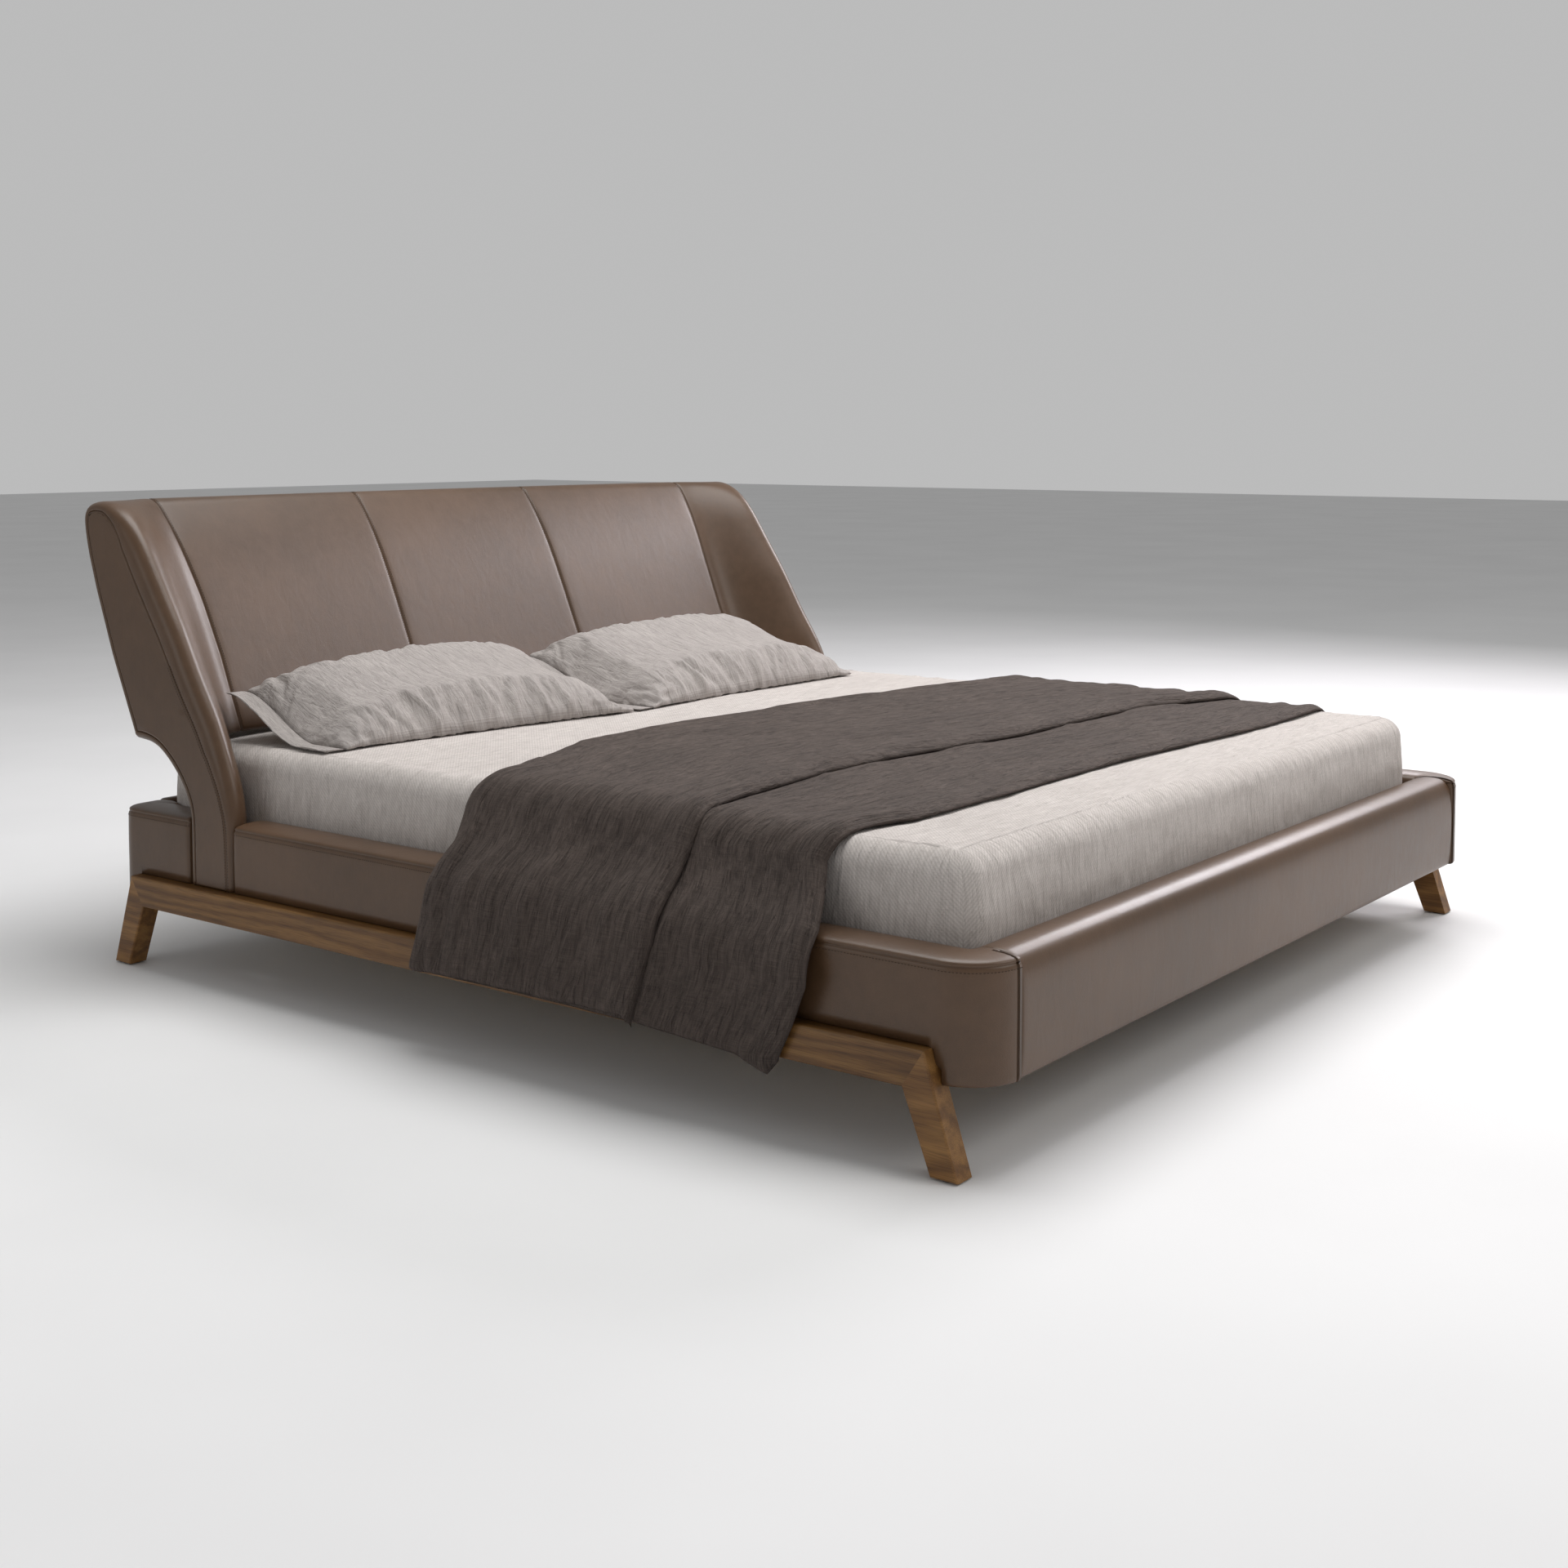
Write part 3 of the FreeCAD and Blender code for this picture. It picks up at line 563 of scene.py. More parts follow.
def corner_path(radius, start_d, end_x, foot):
    """Plan path along the outer face of the right side, round a corner and in to end_x."""
    corner_x = LEATHER - radius
    side = 1.0 if foot else -1.0
    edge_d = 0.0 if foot else REAR_FACE
    centre_d = edge_d + side * radius
    behind_leg = range(78, 136, 4) if foot else range(2066, 2122, 4)
    extra = [d for d in behind_leg if (d - centre_d) * side > 2]
    run = stations(min(start_d, centre_d), max(start_d, centre_d), not foot, foot, 14.0)
    run = np.array(sorted(set(np.round(np.concatenate([run, extra]), 2))))
    if foot:
        run = run[::-1]
    path = [(LEATHER, d) for d in run]
    normals = [(1.0, 0.0)] * len(run)
    for angle in np.linspace(0.0, math.pi / 2, 15)[1:]:
        path.append((corner_x + radius * math.cos(angle), centre_d - side * radius * math.sin(angle)))
        normals.append((math.cos(angle), -side * math.sin(angle)))
    if corner_x > end_x + 1.0:
        for x in stations(corner_x, end_x, False, True)[::-1][1:]:
            path.append((x, edge_d))
            normals.append((0.0, -side))
    return np.array(path), np.array(normals)


STITCH_COLUMN = 10           # the point of rail_loop that carries the stitching


def side_rail(mirror, name, radius, start_d, foot, nodes):
    path, normals = corner_path(radius, start_d, WELL + 0.6, foot)
    grid = swept_rail(rail_loop(), path, normals)
    grid[..., 0] = np.maximum(grid[..., 0], WELL + 0.3)
    grid[..., 0] *= mirror
    skin = Skin()
    skin.tube(grid)
    piece = skin.object(name, leather)
    line = grid[2:-2, STITCH_COLUMN]
    outward = np.hstack([normals[2:-2] * [mirror, 1.0], np.zeros((len(line), 1))])
    stitch_along(line, outward)
    return place(piece, "bed", "leather", *nodes)


def extruded(name, loop, x0, x1, nodes):
    """Padded board with the same section from x0 to x1, loop given as (d, height)."""
    grid = []
    for x in stations(x0, x1, True, True, 16.0):
        near = math.exp(-min(x - x0, x1 - x) / SEAM_REACH)
        grid.append(at_x(x, inset_loop(loop, SEAM_INSET * near)))
    skin = Skin()
    skin.tube(np.array(grid))
    piece = skin.object(name, leather)
    return place(piece, "bed", "leather", *nodes)


FOOT_LOOP = np.array([
    (12.0, 138.2), (7.5, 139.5), (4.6, 143.0), (3.2, 150.0), (1.8, 170.0), (0.8, 195.0), (0.4, 225.0),
    (0.7, 255.0), (1.8, 280.0), (3.8, 298.0), (7.0, 311.0), (11.0, 320.0), (16.5, 327.5), (24.0, 332.8),
    (33.0, 335.8), (44.0, 337.0), (56.0, 337.0), (68.0, 335.8), (79.0, 333.2), (88.0, 329.2), (94.5, 323.5),
    (98.5, 315.0), (100.0, 302.0), (100.0, 260.0), (100.0, 200.0), (100.0, 150.0), (98.0, 141.0),
    (92.0, 138.2), (60.0, 138.0), (30.0, 138.0)])
REAR_LOOP = np.array([
    (2150.0, 138.2), (2145.5, 140.0), (2143.3, 146.0), (2143.0, 200.0), (2143.0, 260.0), (2143.3, 326.0),
    (2145.5, 332.5), (2150.0, 335.0), (2161.0, 335.0), (2165.5, 332.5), (2167.7, 326.0), (2168.0, 260.0),
    (2168.0, 200.0), (2167.7, 146.0), (2165.5, 140.0), (2161.0, 138.2)])

for side, mirror in SIDES:
    side_rail(mirror, "side_rail_leather_" + side, 95.0, 1786.0, True, ["side_rail_cover_" + side])
    side_rail(mirror, "rear_block_leather_" + side, 45.0, 1931.0, False, ["rear_block_cover_" + side])
extruded("foot_rail_leather", FOOT_LOOP, -WELL + 0.5, WELL - 0.5, ["foot_rail_cover"])
extruded("rear_rail_leather", REAR_LOOP, -WELL + 0.5, WELL - 0.5, ["rear_rail_cover"])


# ---- headboard and wings --------------------------------------------------------------------
def lean_front(z):
    """Front surface at mid-width: it leans back and rolls away at the top."""
    rise = (z - 485.0) / 495.0
    return 2045.0 + 215.0 * rise + 40.0 * np.maximum(rise, 0.0) ** 6


def hollow(x):
    """How far the front surface comes forward at x from the middle."""
    return CONCAVE * x * x


FRONT_LEVELS = np.concatenate([[HEAD_BOTTOM, 483.5, 487.0, 494.0], np.linspace(505.0, 860.0, 34)])
BACK_LEVELS = np.concatenate([np.linspace(900.0, 510.0, 22), [500.0, 492.0, 487.0]])
CROWN_ROWS = 40


def centre_profile(x):
    """Rows of (d, height) up the front at this x, over the rolled top and down the flat back."""
    depth = HEAD_DEPTH + hollow(x)
    lean = 0.62
    radius = depth * math.cos(lean) / 2
    turn_z = HEIGHT - radius * (1 - math.sin(lean))
    front = np.array([(lean_front(z) - hollow(x), z) for z in FRONT_LEVELS])
    front[:4, 0] += [9.0, 4.5, 1.8, 0.4]
    rising = [(lean_front(z) - hollow(x), z) for z in np.linspace(860.0, turn_z, 12)]
    centre = np.array(rising[-1]) + radius * np.array([math.cos(lean), -math.sin(lean)])
    arc = []
    for turn in np.linspace(0.0, math.pi, 26)[1:]:
        angle = math.pi - lean - turn
        arc.append((centre[0] + radius * math.cos(angle), centre[1] + radius * math.sin(angle)))
    back = [(lean_front(z) + HEAD_DEPTH, z) for z in BACK_LEVELS]
    crown = resample(rising + arc + back[:1], count=CROWN_ROWS)
    return np.vstack([front, crown[1:-1], back])


EDGE = [(1788, 340), (1800, 400), (1822, 455), (1861, 535), (1920, 623), (1978, 722), (2038, 810),
        (2098, 900), (2160, 956), (2215, 979)]
WING_BACK = [(2113, 482), (2139, 538), (2193, 654), (2247, 793), (2272, 870), (2280, 905)]


def ridge_profile():
    """The same rows along a wing's outline."""
    levels = np.linspace(340.0, 900.0, 200)
    places = between(EDGE, levels)
    kernel = np.hanning(31)
    kernel /= kernel.sum()
    padded_places = np.concatenate([np.full(15, places[0]), places,
                                    places[-1] + (places[-1] - places[-2]) * np.arange(1, 16)])
    smooth = np.convolve(padded_places, kernel, "valid")
    front = [(np.interp(z, levels, smooth), z) for z in FRONT_LEVELS]
    top = [(np.interp(860.0, levels, smooth), 860.0), (2090.0, 888.0), (2122.0, 928.0), (2160.0, 960.0),
           (2202.0, 979.0), (2236.0, 983.0), (2268.0, 977.0), (2284.0, 955.0), (2284.0, 930.0),
           (between(WING_BACK, 900.0), 900.0)]
    crown = resample(rounded(top, 3), count=CROWN_ROWS)
    back = [(between(WING_BACK, z), z) for z in BACK_LEVELS]
    return np.vstack([front, crown[1:-1], back]), levels, smooth


RIDGE_X = 1038.0
ridge, ridge_levels, ridge_smooth = ridge_profile()
seam_rows = centre_profile(SEAM_X)
ROWS = len(seam_rows)
FRONT_ROWS = len(FRONT_LEVELS)


def wing_share(x):
    """Part of the seam's profile that is left at x on the way from the seam out to the ridge."""
    share = np.clip((x - SEAM_X) / (RIDGE_X - SEAM_X), 0.0, 1.0)
    return np.sin(math.pi / 2 * (1.0 - share) ** 0.85) ** 2


def head_surface(xs):
    """Points of the headboard's surface, one row for each profile row, at x given per row and column."""
    grid = np.zeros(xs.shape + (3,))
    for j, column in enumerate(xs.T):
        if np.ptp(column) < 1e-6 and column[0] <= SEAM_X:
            profile = centre_profile(column[0])
        else:
            inner = np.array([centre_profile(min(x, SEAM_X))[i] for i, x in enumerate(column)])
            outer = ridge + (seam_rows - ridge) * wing_share(column)[:, None]
            profile = np.where(column[:, None] <= SEAM_X, inner, outer)
        grid[:, j, 0] = column
        grid[:, j, 1:] = profile
    return grid


def seam_line():
    """x of the seam between the centre panels and a wing, row by row: it opens out towards the top."""
    heights = ridge[:, 1]
    line = np.interp(seam_rows[:, 1], [482, 640, 768, 880, 983], [862, 860, 867, 880, 893])
    back = np.arange(ROWS) > FRONT_ROWS + CROWN_ROWS // 2
    line[back] = np.interp(heights[back], [482, 940], [880, 893])
    return line


NEAR_SEAM = np.array([0.0, 1.0, 2.2, 3.6, 5.4, 8.0, 12.0, 18.0])
SEAM_ZONE = 22.0             # the even columns start this far from a seam


def spread(low, high, count):
    """Columns from low to high, closer together at both ends; low and high are per row."""
    low = np.broadcast_to(np.asarray(low, float), (ROWS,))
    high = np.broadcast_to(np.asarray(high, float), (ROWS,))
    middle = np.linspace(0.0, 1.0, count)[1:-1]
    inner = low[:, None] + SEAM_ZONE + (high - low - 2 * SEAM_ZONE)[:, None] * middle
    return np.hstack([low[:, None] + NEAR_SEAM, inner, high[:, None] - NEAR_SEAM[::-1]])


def seam_dip(distance):
    return 3.4 * np.exp(-(distance / 2.6) ** 2) + 0.9 * np.exp(-(distance / 9.0) ** 2)


def puffed(grid, low_distance, high_distance):
    """Grid with grooves at the seams and a slight swell between them."""
    normal = grid_normals(grid)
    normal *= -np.sign(normal[10, grid.shape[1] // 2, 1])
    drop = seam_dip(low_distance) + seam_dip(high_distance)
    return grid - normal * drop[..., None], normal


SEAM = seam_line()


def head_panel(name, low, high, mirror, nodes, front=True):
    """One leather panel of the headboard between two seams."""
    xs = spread(low, high, 30)
    grid = head_surface(np.abs(xs))
    grid[..., 0] = xs
    low_distance = xs - np.broadcast_to(low, (ROWS,))[:, None]
    high_distance = np.broadcast_to(high, (ROWS,))[:, None] - xs
    grid, normal = puffed(grid, low_distance, high_distance)
    cut = FRONT_ROWS + CROWN_ROWS + 2
    rows = slice(0, cut) if front else slice(cut - 1, ROWS)
    part = grid[rows]
    part[..., 0] *= mirror
    normal = normal[rows].copy()
    normal[..., 0] *= mirror
    skin = Skin()
    skin.patch(part)
    if front:
        under = part[0].copy()
        under[:, 1] += 26.0
        under[:, 2] += 0.6
        skin.patch(np.stack([under, part[0]]))
    else:
        under = part[-1].copy()
        under[:, 1] -= 40.0
        under[:, 2] = HEAD_BOTTOM + 0.5
        skin.patch(np.stack([part[-1], under]))
    piece = skin.object(name, leather, outward=False)
    if front:
        last = FRONT_ROWS + CROWN_ROWS // 2 + 4
        for column in (4, xs.shape[1] - 5):
            stitch_along(part[3:last, column], normal[3:last, column])
    return place(piece, "bed", "leather", *nodes)


head_panel("headboard_leather_centre", -INNER_SEAM_X, INNER_SEAM_X, 1.0, ["headboard_panel_centre"])
head_panel("headboard_leather_right", INNER_SEAM_X, SEAM, 1.0, ["headboard_panel_right"])
head_panel("headboard_leather_left", INNER_SEAM_X, SEAM, -1.0, ["headboard_panel_left"])
head_panel("headboard_back_leather_right", 0.0, SEAM, 1.0, ["headboard_back_cover"], front=False)
head_panel("headboard_back_leather_left", 0.0, SEAM, -1.0, [], front=False)


def leg_rows():
    """Outline rows of a wing's leg: up its front edge, and down its back from the headboard's corner."""
    heights = [138.0, 150.0, 170.0, 186.0, 193.5, 196.5, 205.0, 222.0, 245.0, 270.0, 295.0, 315.0, 330.0,
               342.0, 356.0, 370.0, 385.0, 400.0, 415.0, 430.0, 445.0, 460.0, 472.0, 482.0]
    front = np.array([(np.interp(z, ridge_levels, ridge_smooth), z) for z in heights])
    neck = [tuple(ridge[-1]), (2111.0, 481.0), (2090.0, 480.0), (2060.0, 476.5), (2030.0, 466.0),
            (1998.0, 443.0), (1972.0, 418.0), (1949.0, 388.0), (1936.0, 362.0), (1930.0, 340.0),
            (1929.0, 320.0)]
    neck = resample(rounded(neck, 2), spacing=9.0)
    back = np.array([(1929.0, z) for z in heights[::-1] if z < 316.0])
    return front, np.vstack([neck, back[1:]])


LEG_FRONT, LEG_BACK = leg_rows()
OUTLINE = np.vstack([LEG_FRONT[:-1], ridge, LEG_BACK[1:]])
HEAD_START = len(LEG_FRONT) - 1                  # the outline's first row on the headboard
HEAD_STOP = HEAD_START + ROWS - 1


def outline_inward():
    """Inward unit normals of the wing's outline, which runs up the front and down the back."""
    ahead = unit(np.gradient(OUTLINE, axis=0))
    inward = np.stack([ahead[:, 1], -ahead[:, 0]], axis=1)
    for _ in range(4):
        inward[1:-1] = unit(inward[:-2] + inward[1:-1] * 2 + inward[2:])
    return inward


def wing_inside():
    """The inner surface, the rolled top and the flat back, from the seam out to the ridge."""
    low = SEAM[:, None]
    xs = np.hstack([low + NEAR_SEAM, low + SEAM_ZONE + (RIDGE_X - low - SEAM_ZONE) * np.linspace(0, 1, 26)])
    surface = head_surface(xs)
    normal = grid_normals(surface)
    normal *= -np.sign(normal[10, 10, 1])
    return surface - normal * seam_dip(xs - low)[..., None]


def edge_strip(inward):
    """The wing's rolled edge and the flat band out to the stitched seam."""
    on_front = np.arange(len(OUTLINE)) <= HEAD_START + FRONT_ROWS + CROWN_ROWS // 3
    front_width = np.interp(OUTLINE[:, 1], [330, 360, 430, 560, 880, 940, 980],
                            [17, 26, 36, 46, 50, 40, 27])
    width = np.where(on_front, front_width, 19.0)
    width = np.convolve(np.pad(width, 6, mode="edge"), np.ones(13) / 13, "valid")
    rolled = np.minimum(width * 0.72, 30.0)
    lines = []
    for turn in np.radians([0.0, 12.0, 24.0, 37.0, 50.0, 63.0, 76.0, 90.0]):
        lines.append((RIDGE_X + (LEATHER - RIDGE_X) * math.sin(turn), rolled * (1 - math.cos(turn))))
    for part in (0.3, 0.6, 0.8, 0.92, 1.0):
        lines.append((LEATHER - 3.0 * part ** 8, rolled + (width - rolled) * part))
    strip = np.stack([at_x(x, OUTLINE + inward * offset[:, None]) for x, offset in lines], axis=1)
    behind = strip[..., 2] < WALNUT_SHADOW
    strip[..., 0] = np.where(behind, np.minimum(strip[..., 0], WALNUT_INSIDE), strip[..., 0])
    return strip


def leg_patches():
    """A wing's leg: its diagonal front, its curved back, its inner face and its bottom."""
    leg_x = np.concatenate([[WELL + 1.0, 969.0, 973.0], np.linspace(980.0, RIDGE_X, 16)])
    fall = (seam_rows[0][0] - ridge[0][0]) * wing_share(leg_x)
    fall[:3] += [5.0, 2.0, 0.6]
    rise = [4.0, 1.2, 0.2] + [0.0] * 16
    front = np.array([[(x, d + f, z) for x, f in zip(leg_x, fall)] for d, z in LEG_FRONT])
    back = np.array([[(x, d - r, z) for x, r in zip(leg_x, rise)] for d, z in LEG_BACK])
    inner = ruled(resample(front[:, 0], count=len(LEG_BACK)), back[::-1, 0])
    return front, back, inner, ruled(front[0], back[-1])


def wing_underside(inside):
    """Flat underside of a wing between the seam and the ridge."""
    xs = np.linspace(SEAM[0], RIDGE_X, 12)
    edges = [np.stack([np.interp(xs, edge[:, 0], edge[:, k]) for k in range(3)], axis=1)
             for edge in (inside[0], inside[-1])]
    return ruled(*edges)


def wing_side(mirror, side, band, inward):
    """The flat side panel inside a wing's seam, and two rows of stitches along the seam's front."""
    keep = band[:, 2] > PANEL_BOTTOM
    loop = band[keep][:, 1:]
    loop[[0, -1], 1] = PANEL_BOTTOM + 0.4
    closed = np.vstack([loop, np.linspace(loop[-1], loop[0], 12)[1:-1]])
    steps = ((0.0, LEATHER - 3.0), (1.4, LEATHER - 1.2), (2.6, LEATHER - 0.2), (5.0, LEATHER + 0.5))
    rings = np.array([at_x(x, inset_loop(closed, step)) for step, x in steps])
    rings[..., 2] = np.maximum(rings[..., 2], PANEL_BOTTOM + 0.2)
    rings[..., 0] *= mirror
    skin = Skin()
    skin.patch(rings, wrap=True)
    # the middle is ruled from the front edge to the back edge, below the shoulder and above it
    inside = rings[-1]
    apex = int(np.argmax(loop[:, 1]))
    shoulder = int(np.argmax(loop[:, 1] > 545.0))
    corner = HEAD_STOP - int(np.argmax(keep)) - 1
    for fore, aft, count in ((inside[:shoulder + 1], inside[corner:len(loop)], 26),
                             (inside[shoulder:apex + 1], inside[apex:corner + 1], 34)):
        skin.patch(ruled(resample(fore, count=count), resample(aft[::-1], count=count)))
    panel = skin.object("wing_side_leather_" + side, leather)
    place(panel, "bed", "leather", "wing_side_panel_" + side)
    stop = int(np.argmax(loop[:, 1] > 968.0)) if (loop[:, 1] > 968.0).any() else FRONT_ROWS
    outward = np.tile([mirror, 0.0, 0.0], (stop, 1))
    for offset, x in ((-3.4, LEATHER - 0.2), (4.2, LEATHER + 0.35)):
        stitch_along(at_x(x * mirror, loop[:stop] + inward[keep][:stop] * offset), outward)


def wing(mirror, side):
    inward = outline_inward()
    inside = wing_inside()
    strip = edge_strip(inward)
    skin = Skin()
    for grid in (inside, strip, *leg_patches(), wing_underside(inside)):
        skin.patch(grid * [mirror, 1.0, 1.0])
    piece = skin.object("wing_leather_" + side, leather)
    place(piece, "bed", "leather", "wing_cover_" + side)
    wing_side(mirror, side, strip[:, -1], inward)


for side, mirror in SIDES:
    wing(mirror, side)

place(stitches("leather_stitching"), "bed", "leather")


# ---- cloth creases --------------------------------------------------------------------------
def crease_field(width, height, cell, count, length, breadth, rise, angle, spread_angle, seed):
    """Height map of a crushed cloth: many short soft ridges laid over each other."""
    random = np.random.default_rng(seed)
    columns = int(width / cell) + 1
    rows = int(height / cell) + 1
    field = np.zeros((rows, columns))
    for _ in range(count):
        u = random.uniform(0, width)
        v = random.uniform(0, height)
        turn = angle + random.normal(0.0, spread_angle)
        long = random.uniform(*length)
        wide = random.uniform(*breadth)
        tall = random.uniform(*rise) * random.choice([-0.6, 1.0])
        bend = random.normal(0.0, 0.0016)
        reach = long * 0.75 + wide * 3
        low_column = max(int((u - reach) / cell), 0)
        high_column = min(int((u + reach) / cell) + 2, columns)
        low_row = max(int((v - reach) / cell), 0)
        high_row = min(int((v + reach) / cell) + 2, rows)
        if high_column - low_column < 2 or high_row - low_row < 2:
            continue
        vs, us = np.mgrid[low_row:high_row, low_column:high_column] * cell
        along = (us - u) * math.cos(turn) + (vs - v) * math.sin(turn)
        across = -(us - u) * math.sin(turn) + (vs - v) * math.cos(turn) + bend * along ** 2
        field[low_row:high_row, low_column:high_column] += tall * np.exp(
            -(across / wide) ** 2) * np.exp(-(along / (long * 0.5)) ** 4)
    return field


def sample(field, cell, u, v):
    """Bilinear value of a height map at (u, v)."""
    x = np.clip(u / cell, 0, field.shape[1] - 1.001)
    y = np.clip(v / cell, 0, field.shape[0] - 1.001)
    i = y.astype(int)
    j = x.astype(int)
    fx = x - j
    fy = y - i
    return (field[i, j] * (1 - fx) * (1 - fy) + field[i, j + 1] * fx * (1 - fy)
            + field[i + 1, j] * (1 - fx) * fy + field[i + 1, j + 1] * fx * fy)


# ---- mattress and fitted sheet ----------------------------------------------------------------
def slab_outline(share, half, start, end, radius):
    """Plan point and outward normal on a quarter of a rounded slab's outline.

    share runs from 0 at the middle of the side to 1 at the corner's diagonal, and on to 2 at the
    middle of the end. The quarter has x and d both positive from the slab's middle.
    """
    long = (end - start) / 2
    arc = radius * math.pi / 4
    side = long - radius + arc
    front = half - radius + arc
    points = []
    normals = []
    for value in share:
        s = value * side if value <= 1.0 else (2.0 - value) * front
        straight = (long if value <= 1.0 else half) - radius
        angle = 0.0 if s <= straight else (s - straight) / radius
        if value <= 1.0:
            if s <= straight:
                point, normal = (half, s), (1.0, 0.0)
            else:
                point = (half - radius + radius * math.cos(angle), straight + radius * math.sin(angle))
                normal = (math.cos(angle), math.sin(angle))
        else:
            if s <= straight:
                point, normal = (s, long), (0.0, 1.0)
            else:
                point = (straight + radius * math.sin(angle), long - radius + radius * math.cos(angle))
                normal = (math.sin(angle), math.cos(angle))
        points.append(point)
        normals.append(normal)
    return np.array(points), np.array(normals)


CROWN = 2.2                  # how far a slab's top rises above its edge
TURN_RADIUS = 6.0            # of the cloth where it turns in under a slab


def side_drop(edge, shoulder, side_height, cell, tuck, bulge):
    """Section of a cloth from a slab's top edge down and under, as (outward offset, height, run)."""
    drop = []
    for turn in np.linspace(0.0, math.pi / 2, 11):
        drop.append((edge * math.sin(turn) - edge, shoulder - edge * (1 - math.cos(turn)), edge * turn))
    for depth in np.linspace(0.0, side_height - 8.0, int(side_height / cell) + 1)[1:]:
        swell = bulge * math.sin(math.pi * min(depth / side_height, 1.0))
        drop.append((swell, shoulder - edge - depth, edge * math.pi / 2 + depth))
    offset, z, run = drop[-1]
    for turn in np.linspace(0.0, math.pi / 2, 6)[1:]:
        drop.append((offset - TURN_RADIUS * (1 - math.cos(turn)), z - TURN_RADIUS * math.sin(turn),
                     run + TURN_RADIUS * turn))
    offset, z, run = drop[-1]
    for step in range(1, 1 + int(tuck / cell)):
        drop.append((offset - cell * step, z, run + cell * step))
    return drop


def covered_slab(half, start, end, radius, edge, low, high, cell, tuck, bulge):
    """A cloth over a slab as one top grid and four side strips, with flat coordinates for each point."""
    long = (end - start) / 2
    middle_d = (start + end) / 2
    across = int(2 * half / cell) // 2 * 2 + 1
    along = int(2 * long / cell) // 2 * 2 + 1
    a = np.linspace(-1.0, 1.0, across)
    b = np.linspace(-1.0, 1.0, along)

    def curve(on_side, sign, values, inset):
        """Points and outward normals along one of the four sides, values from -1 to 1."""
        share = np.abs(values) if on_side else 2.0 - np.abs(values)
        points, normals = slab_outline(share, half - inset, start + inset, end - inset, radius - inset)
        fixed = np.full(len(values), sign)
        signs = np.sign(values) + (values == 0)
        flip = np.stack([fixed, signs] if on_side else [signs, fixed], axis=1)
        return points * flip, normals * flip

    right, left = [curve(True, sign, b, edge)[0] for sign in (1.0, -1.0)]
    head, foot = [curve(False, sign, a, edge)[0] for sign in (1.0, -1.0)]
    u = ((a + 1) / 2)[None, :, None]
    v = ((b + 1) / 2)[:, None, None]
    plan = (left[:, None] * (1 - u) + right[:, None] * u + foot[None] * (1 - v) + head[None] * v
            - (foot[0] * (1 - u) * (1 - v) + foot[-1] * u * (1 - v) + head[0] * (1 - u) * v
               + head[-1] * u * v))
    shoulder = high - CROWN
    crown = CROWN * (1 - np.abs(a)[None, :] ** 6) * (1 - np.abs(b)[:, None] ** 6)
    top = np.dstack([plan[..., 0], plan[..., 1] + middle_d, np.full(plan.shape[:2], shoulder) + crown])
    drop = side_drop(edge, shoulder, high - edge - low, cell, tuck, bulge)

    strips = []
    flats = []
    for on_side, values in ((True, b), (False, a)):
        for sign in (1.0, -1.0):
            points, normals = curve(on_side, sign, values, 0.0)
            inner, _ = curve(on_side, sign, values, edge)
            outward = np.array([sign, 0.0] if on_side else [0.0, sign])
            grid = []
            flat = []
            for offset, z, run in drop:
                spot = points + normals * offset
                grid.append(np.column_stack([spot, np.full(len(spot), z)]) + [0.0, middle_d, 0.0])
                flat.append(inner + outward * run)
            strips.append(np.array(grid))
            flats.append(np.array(flat))
    return top, plan, strips, flats


def raised(grid, flat, field, cell, origin, fade=None):
    """Grid moved along its normals by a crease field over its flat coordinates."""
    normal = grid_normals(grid)
    centre = np.array([0.0, LENGTH / 2, 350.0])
    outward = np.sum((grid - centre) * normal, axis=-1).mean()
    normal = normal * (1.0 if outward > 0 else -1.0)
    lift = sample(field, cell, flat[..., 0] - origin[0], flat[..., 1] - origin[1])
    if fade is not None:
        lift = lift * fade
    return grid + normal * lift[..., None]


def make_sheet():
    top, flat_top, strips, flats = covered_slab(
        MATTRESS_HALF - 1.0, MATTRESS_START + 1.0, MATTRESS_END - 1.0, 52.0, 45.0, 232.0,
        MATTRESS_TOP - 0.5, 8.0, 45.0, 5.0)
    origin = (-1400.0, -1450.0)
    soft = crease_field(2800.0, 2900.0, 4.0, 1500, (110, 380), (9, 20), (0.6, 2.0), 0.0, 0.16, 3)
    fine = crease_field(2800.0, 2900.0, 4.0, 4200, (50, 170), (5.5, 8.5), (0.5, 1.3), 0.0, 0.22, 4)
    field = np.clip(soft + fine - np.mean(soft + fine), -3.0, 3.6)
    skin = Skin()
    top = raised(top, flat_top, field * 0.8, 4.0, origin)
    borders = (top[:, -1], top[:, 0], top[-1], top[0])
    skin.patch(top, flat_top[..., ::-1])
    end_soft = crease_field(2800.0, 2900.0, 4.0, 900, (80, 220), (8, 16), (0.5, 1.8), math.pi / 2, 0.3, 5)
    for index, (grid, flat) in enumerate(zip(strips, flats)):
        depth, columns = flat.shape[:2]
        fade = np.ones((depth, columns))
        fade[-6:] *= np.linspace(1.0, 0.0, 6)[:, None]
        column = np.arange(columns)
        fade *= smooth_step(np.minimum(column, columns - 1 - column), 0.0, 6.0)
        on_side = index < 2
        blend = smooth_step(np.linspace(0, 1, depth), 0.1, 0.3)[:, None]
        moved = raised(grid, flat, field if on_side else field * 0.5, 4.0, origin, fade)
        if not on_side:
            moved = raised(moved, flat, end_soft, 4.0, origin, fade * blend)
        moved[0] = borders[index]
        skin.patch(moved, flat[..., ::-1] if on_side else flat)
    piece = skin.object("sheet_linen_cover", sheet_linen, weld=1.2)
    return place(piece, "bed", "sheet_linen", "fitted_sheet")


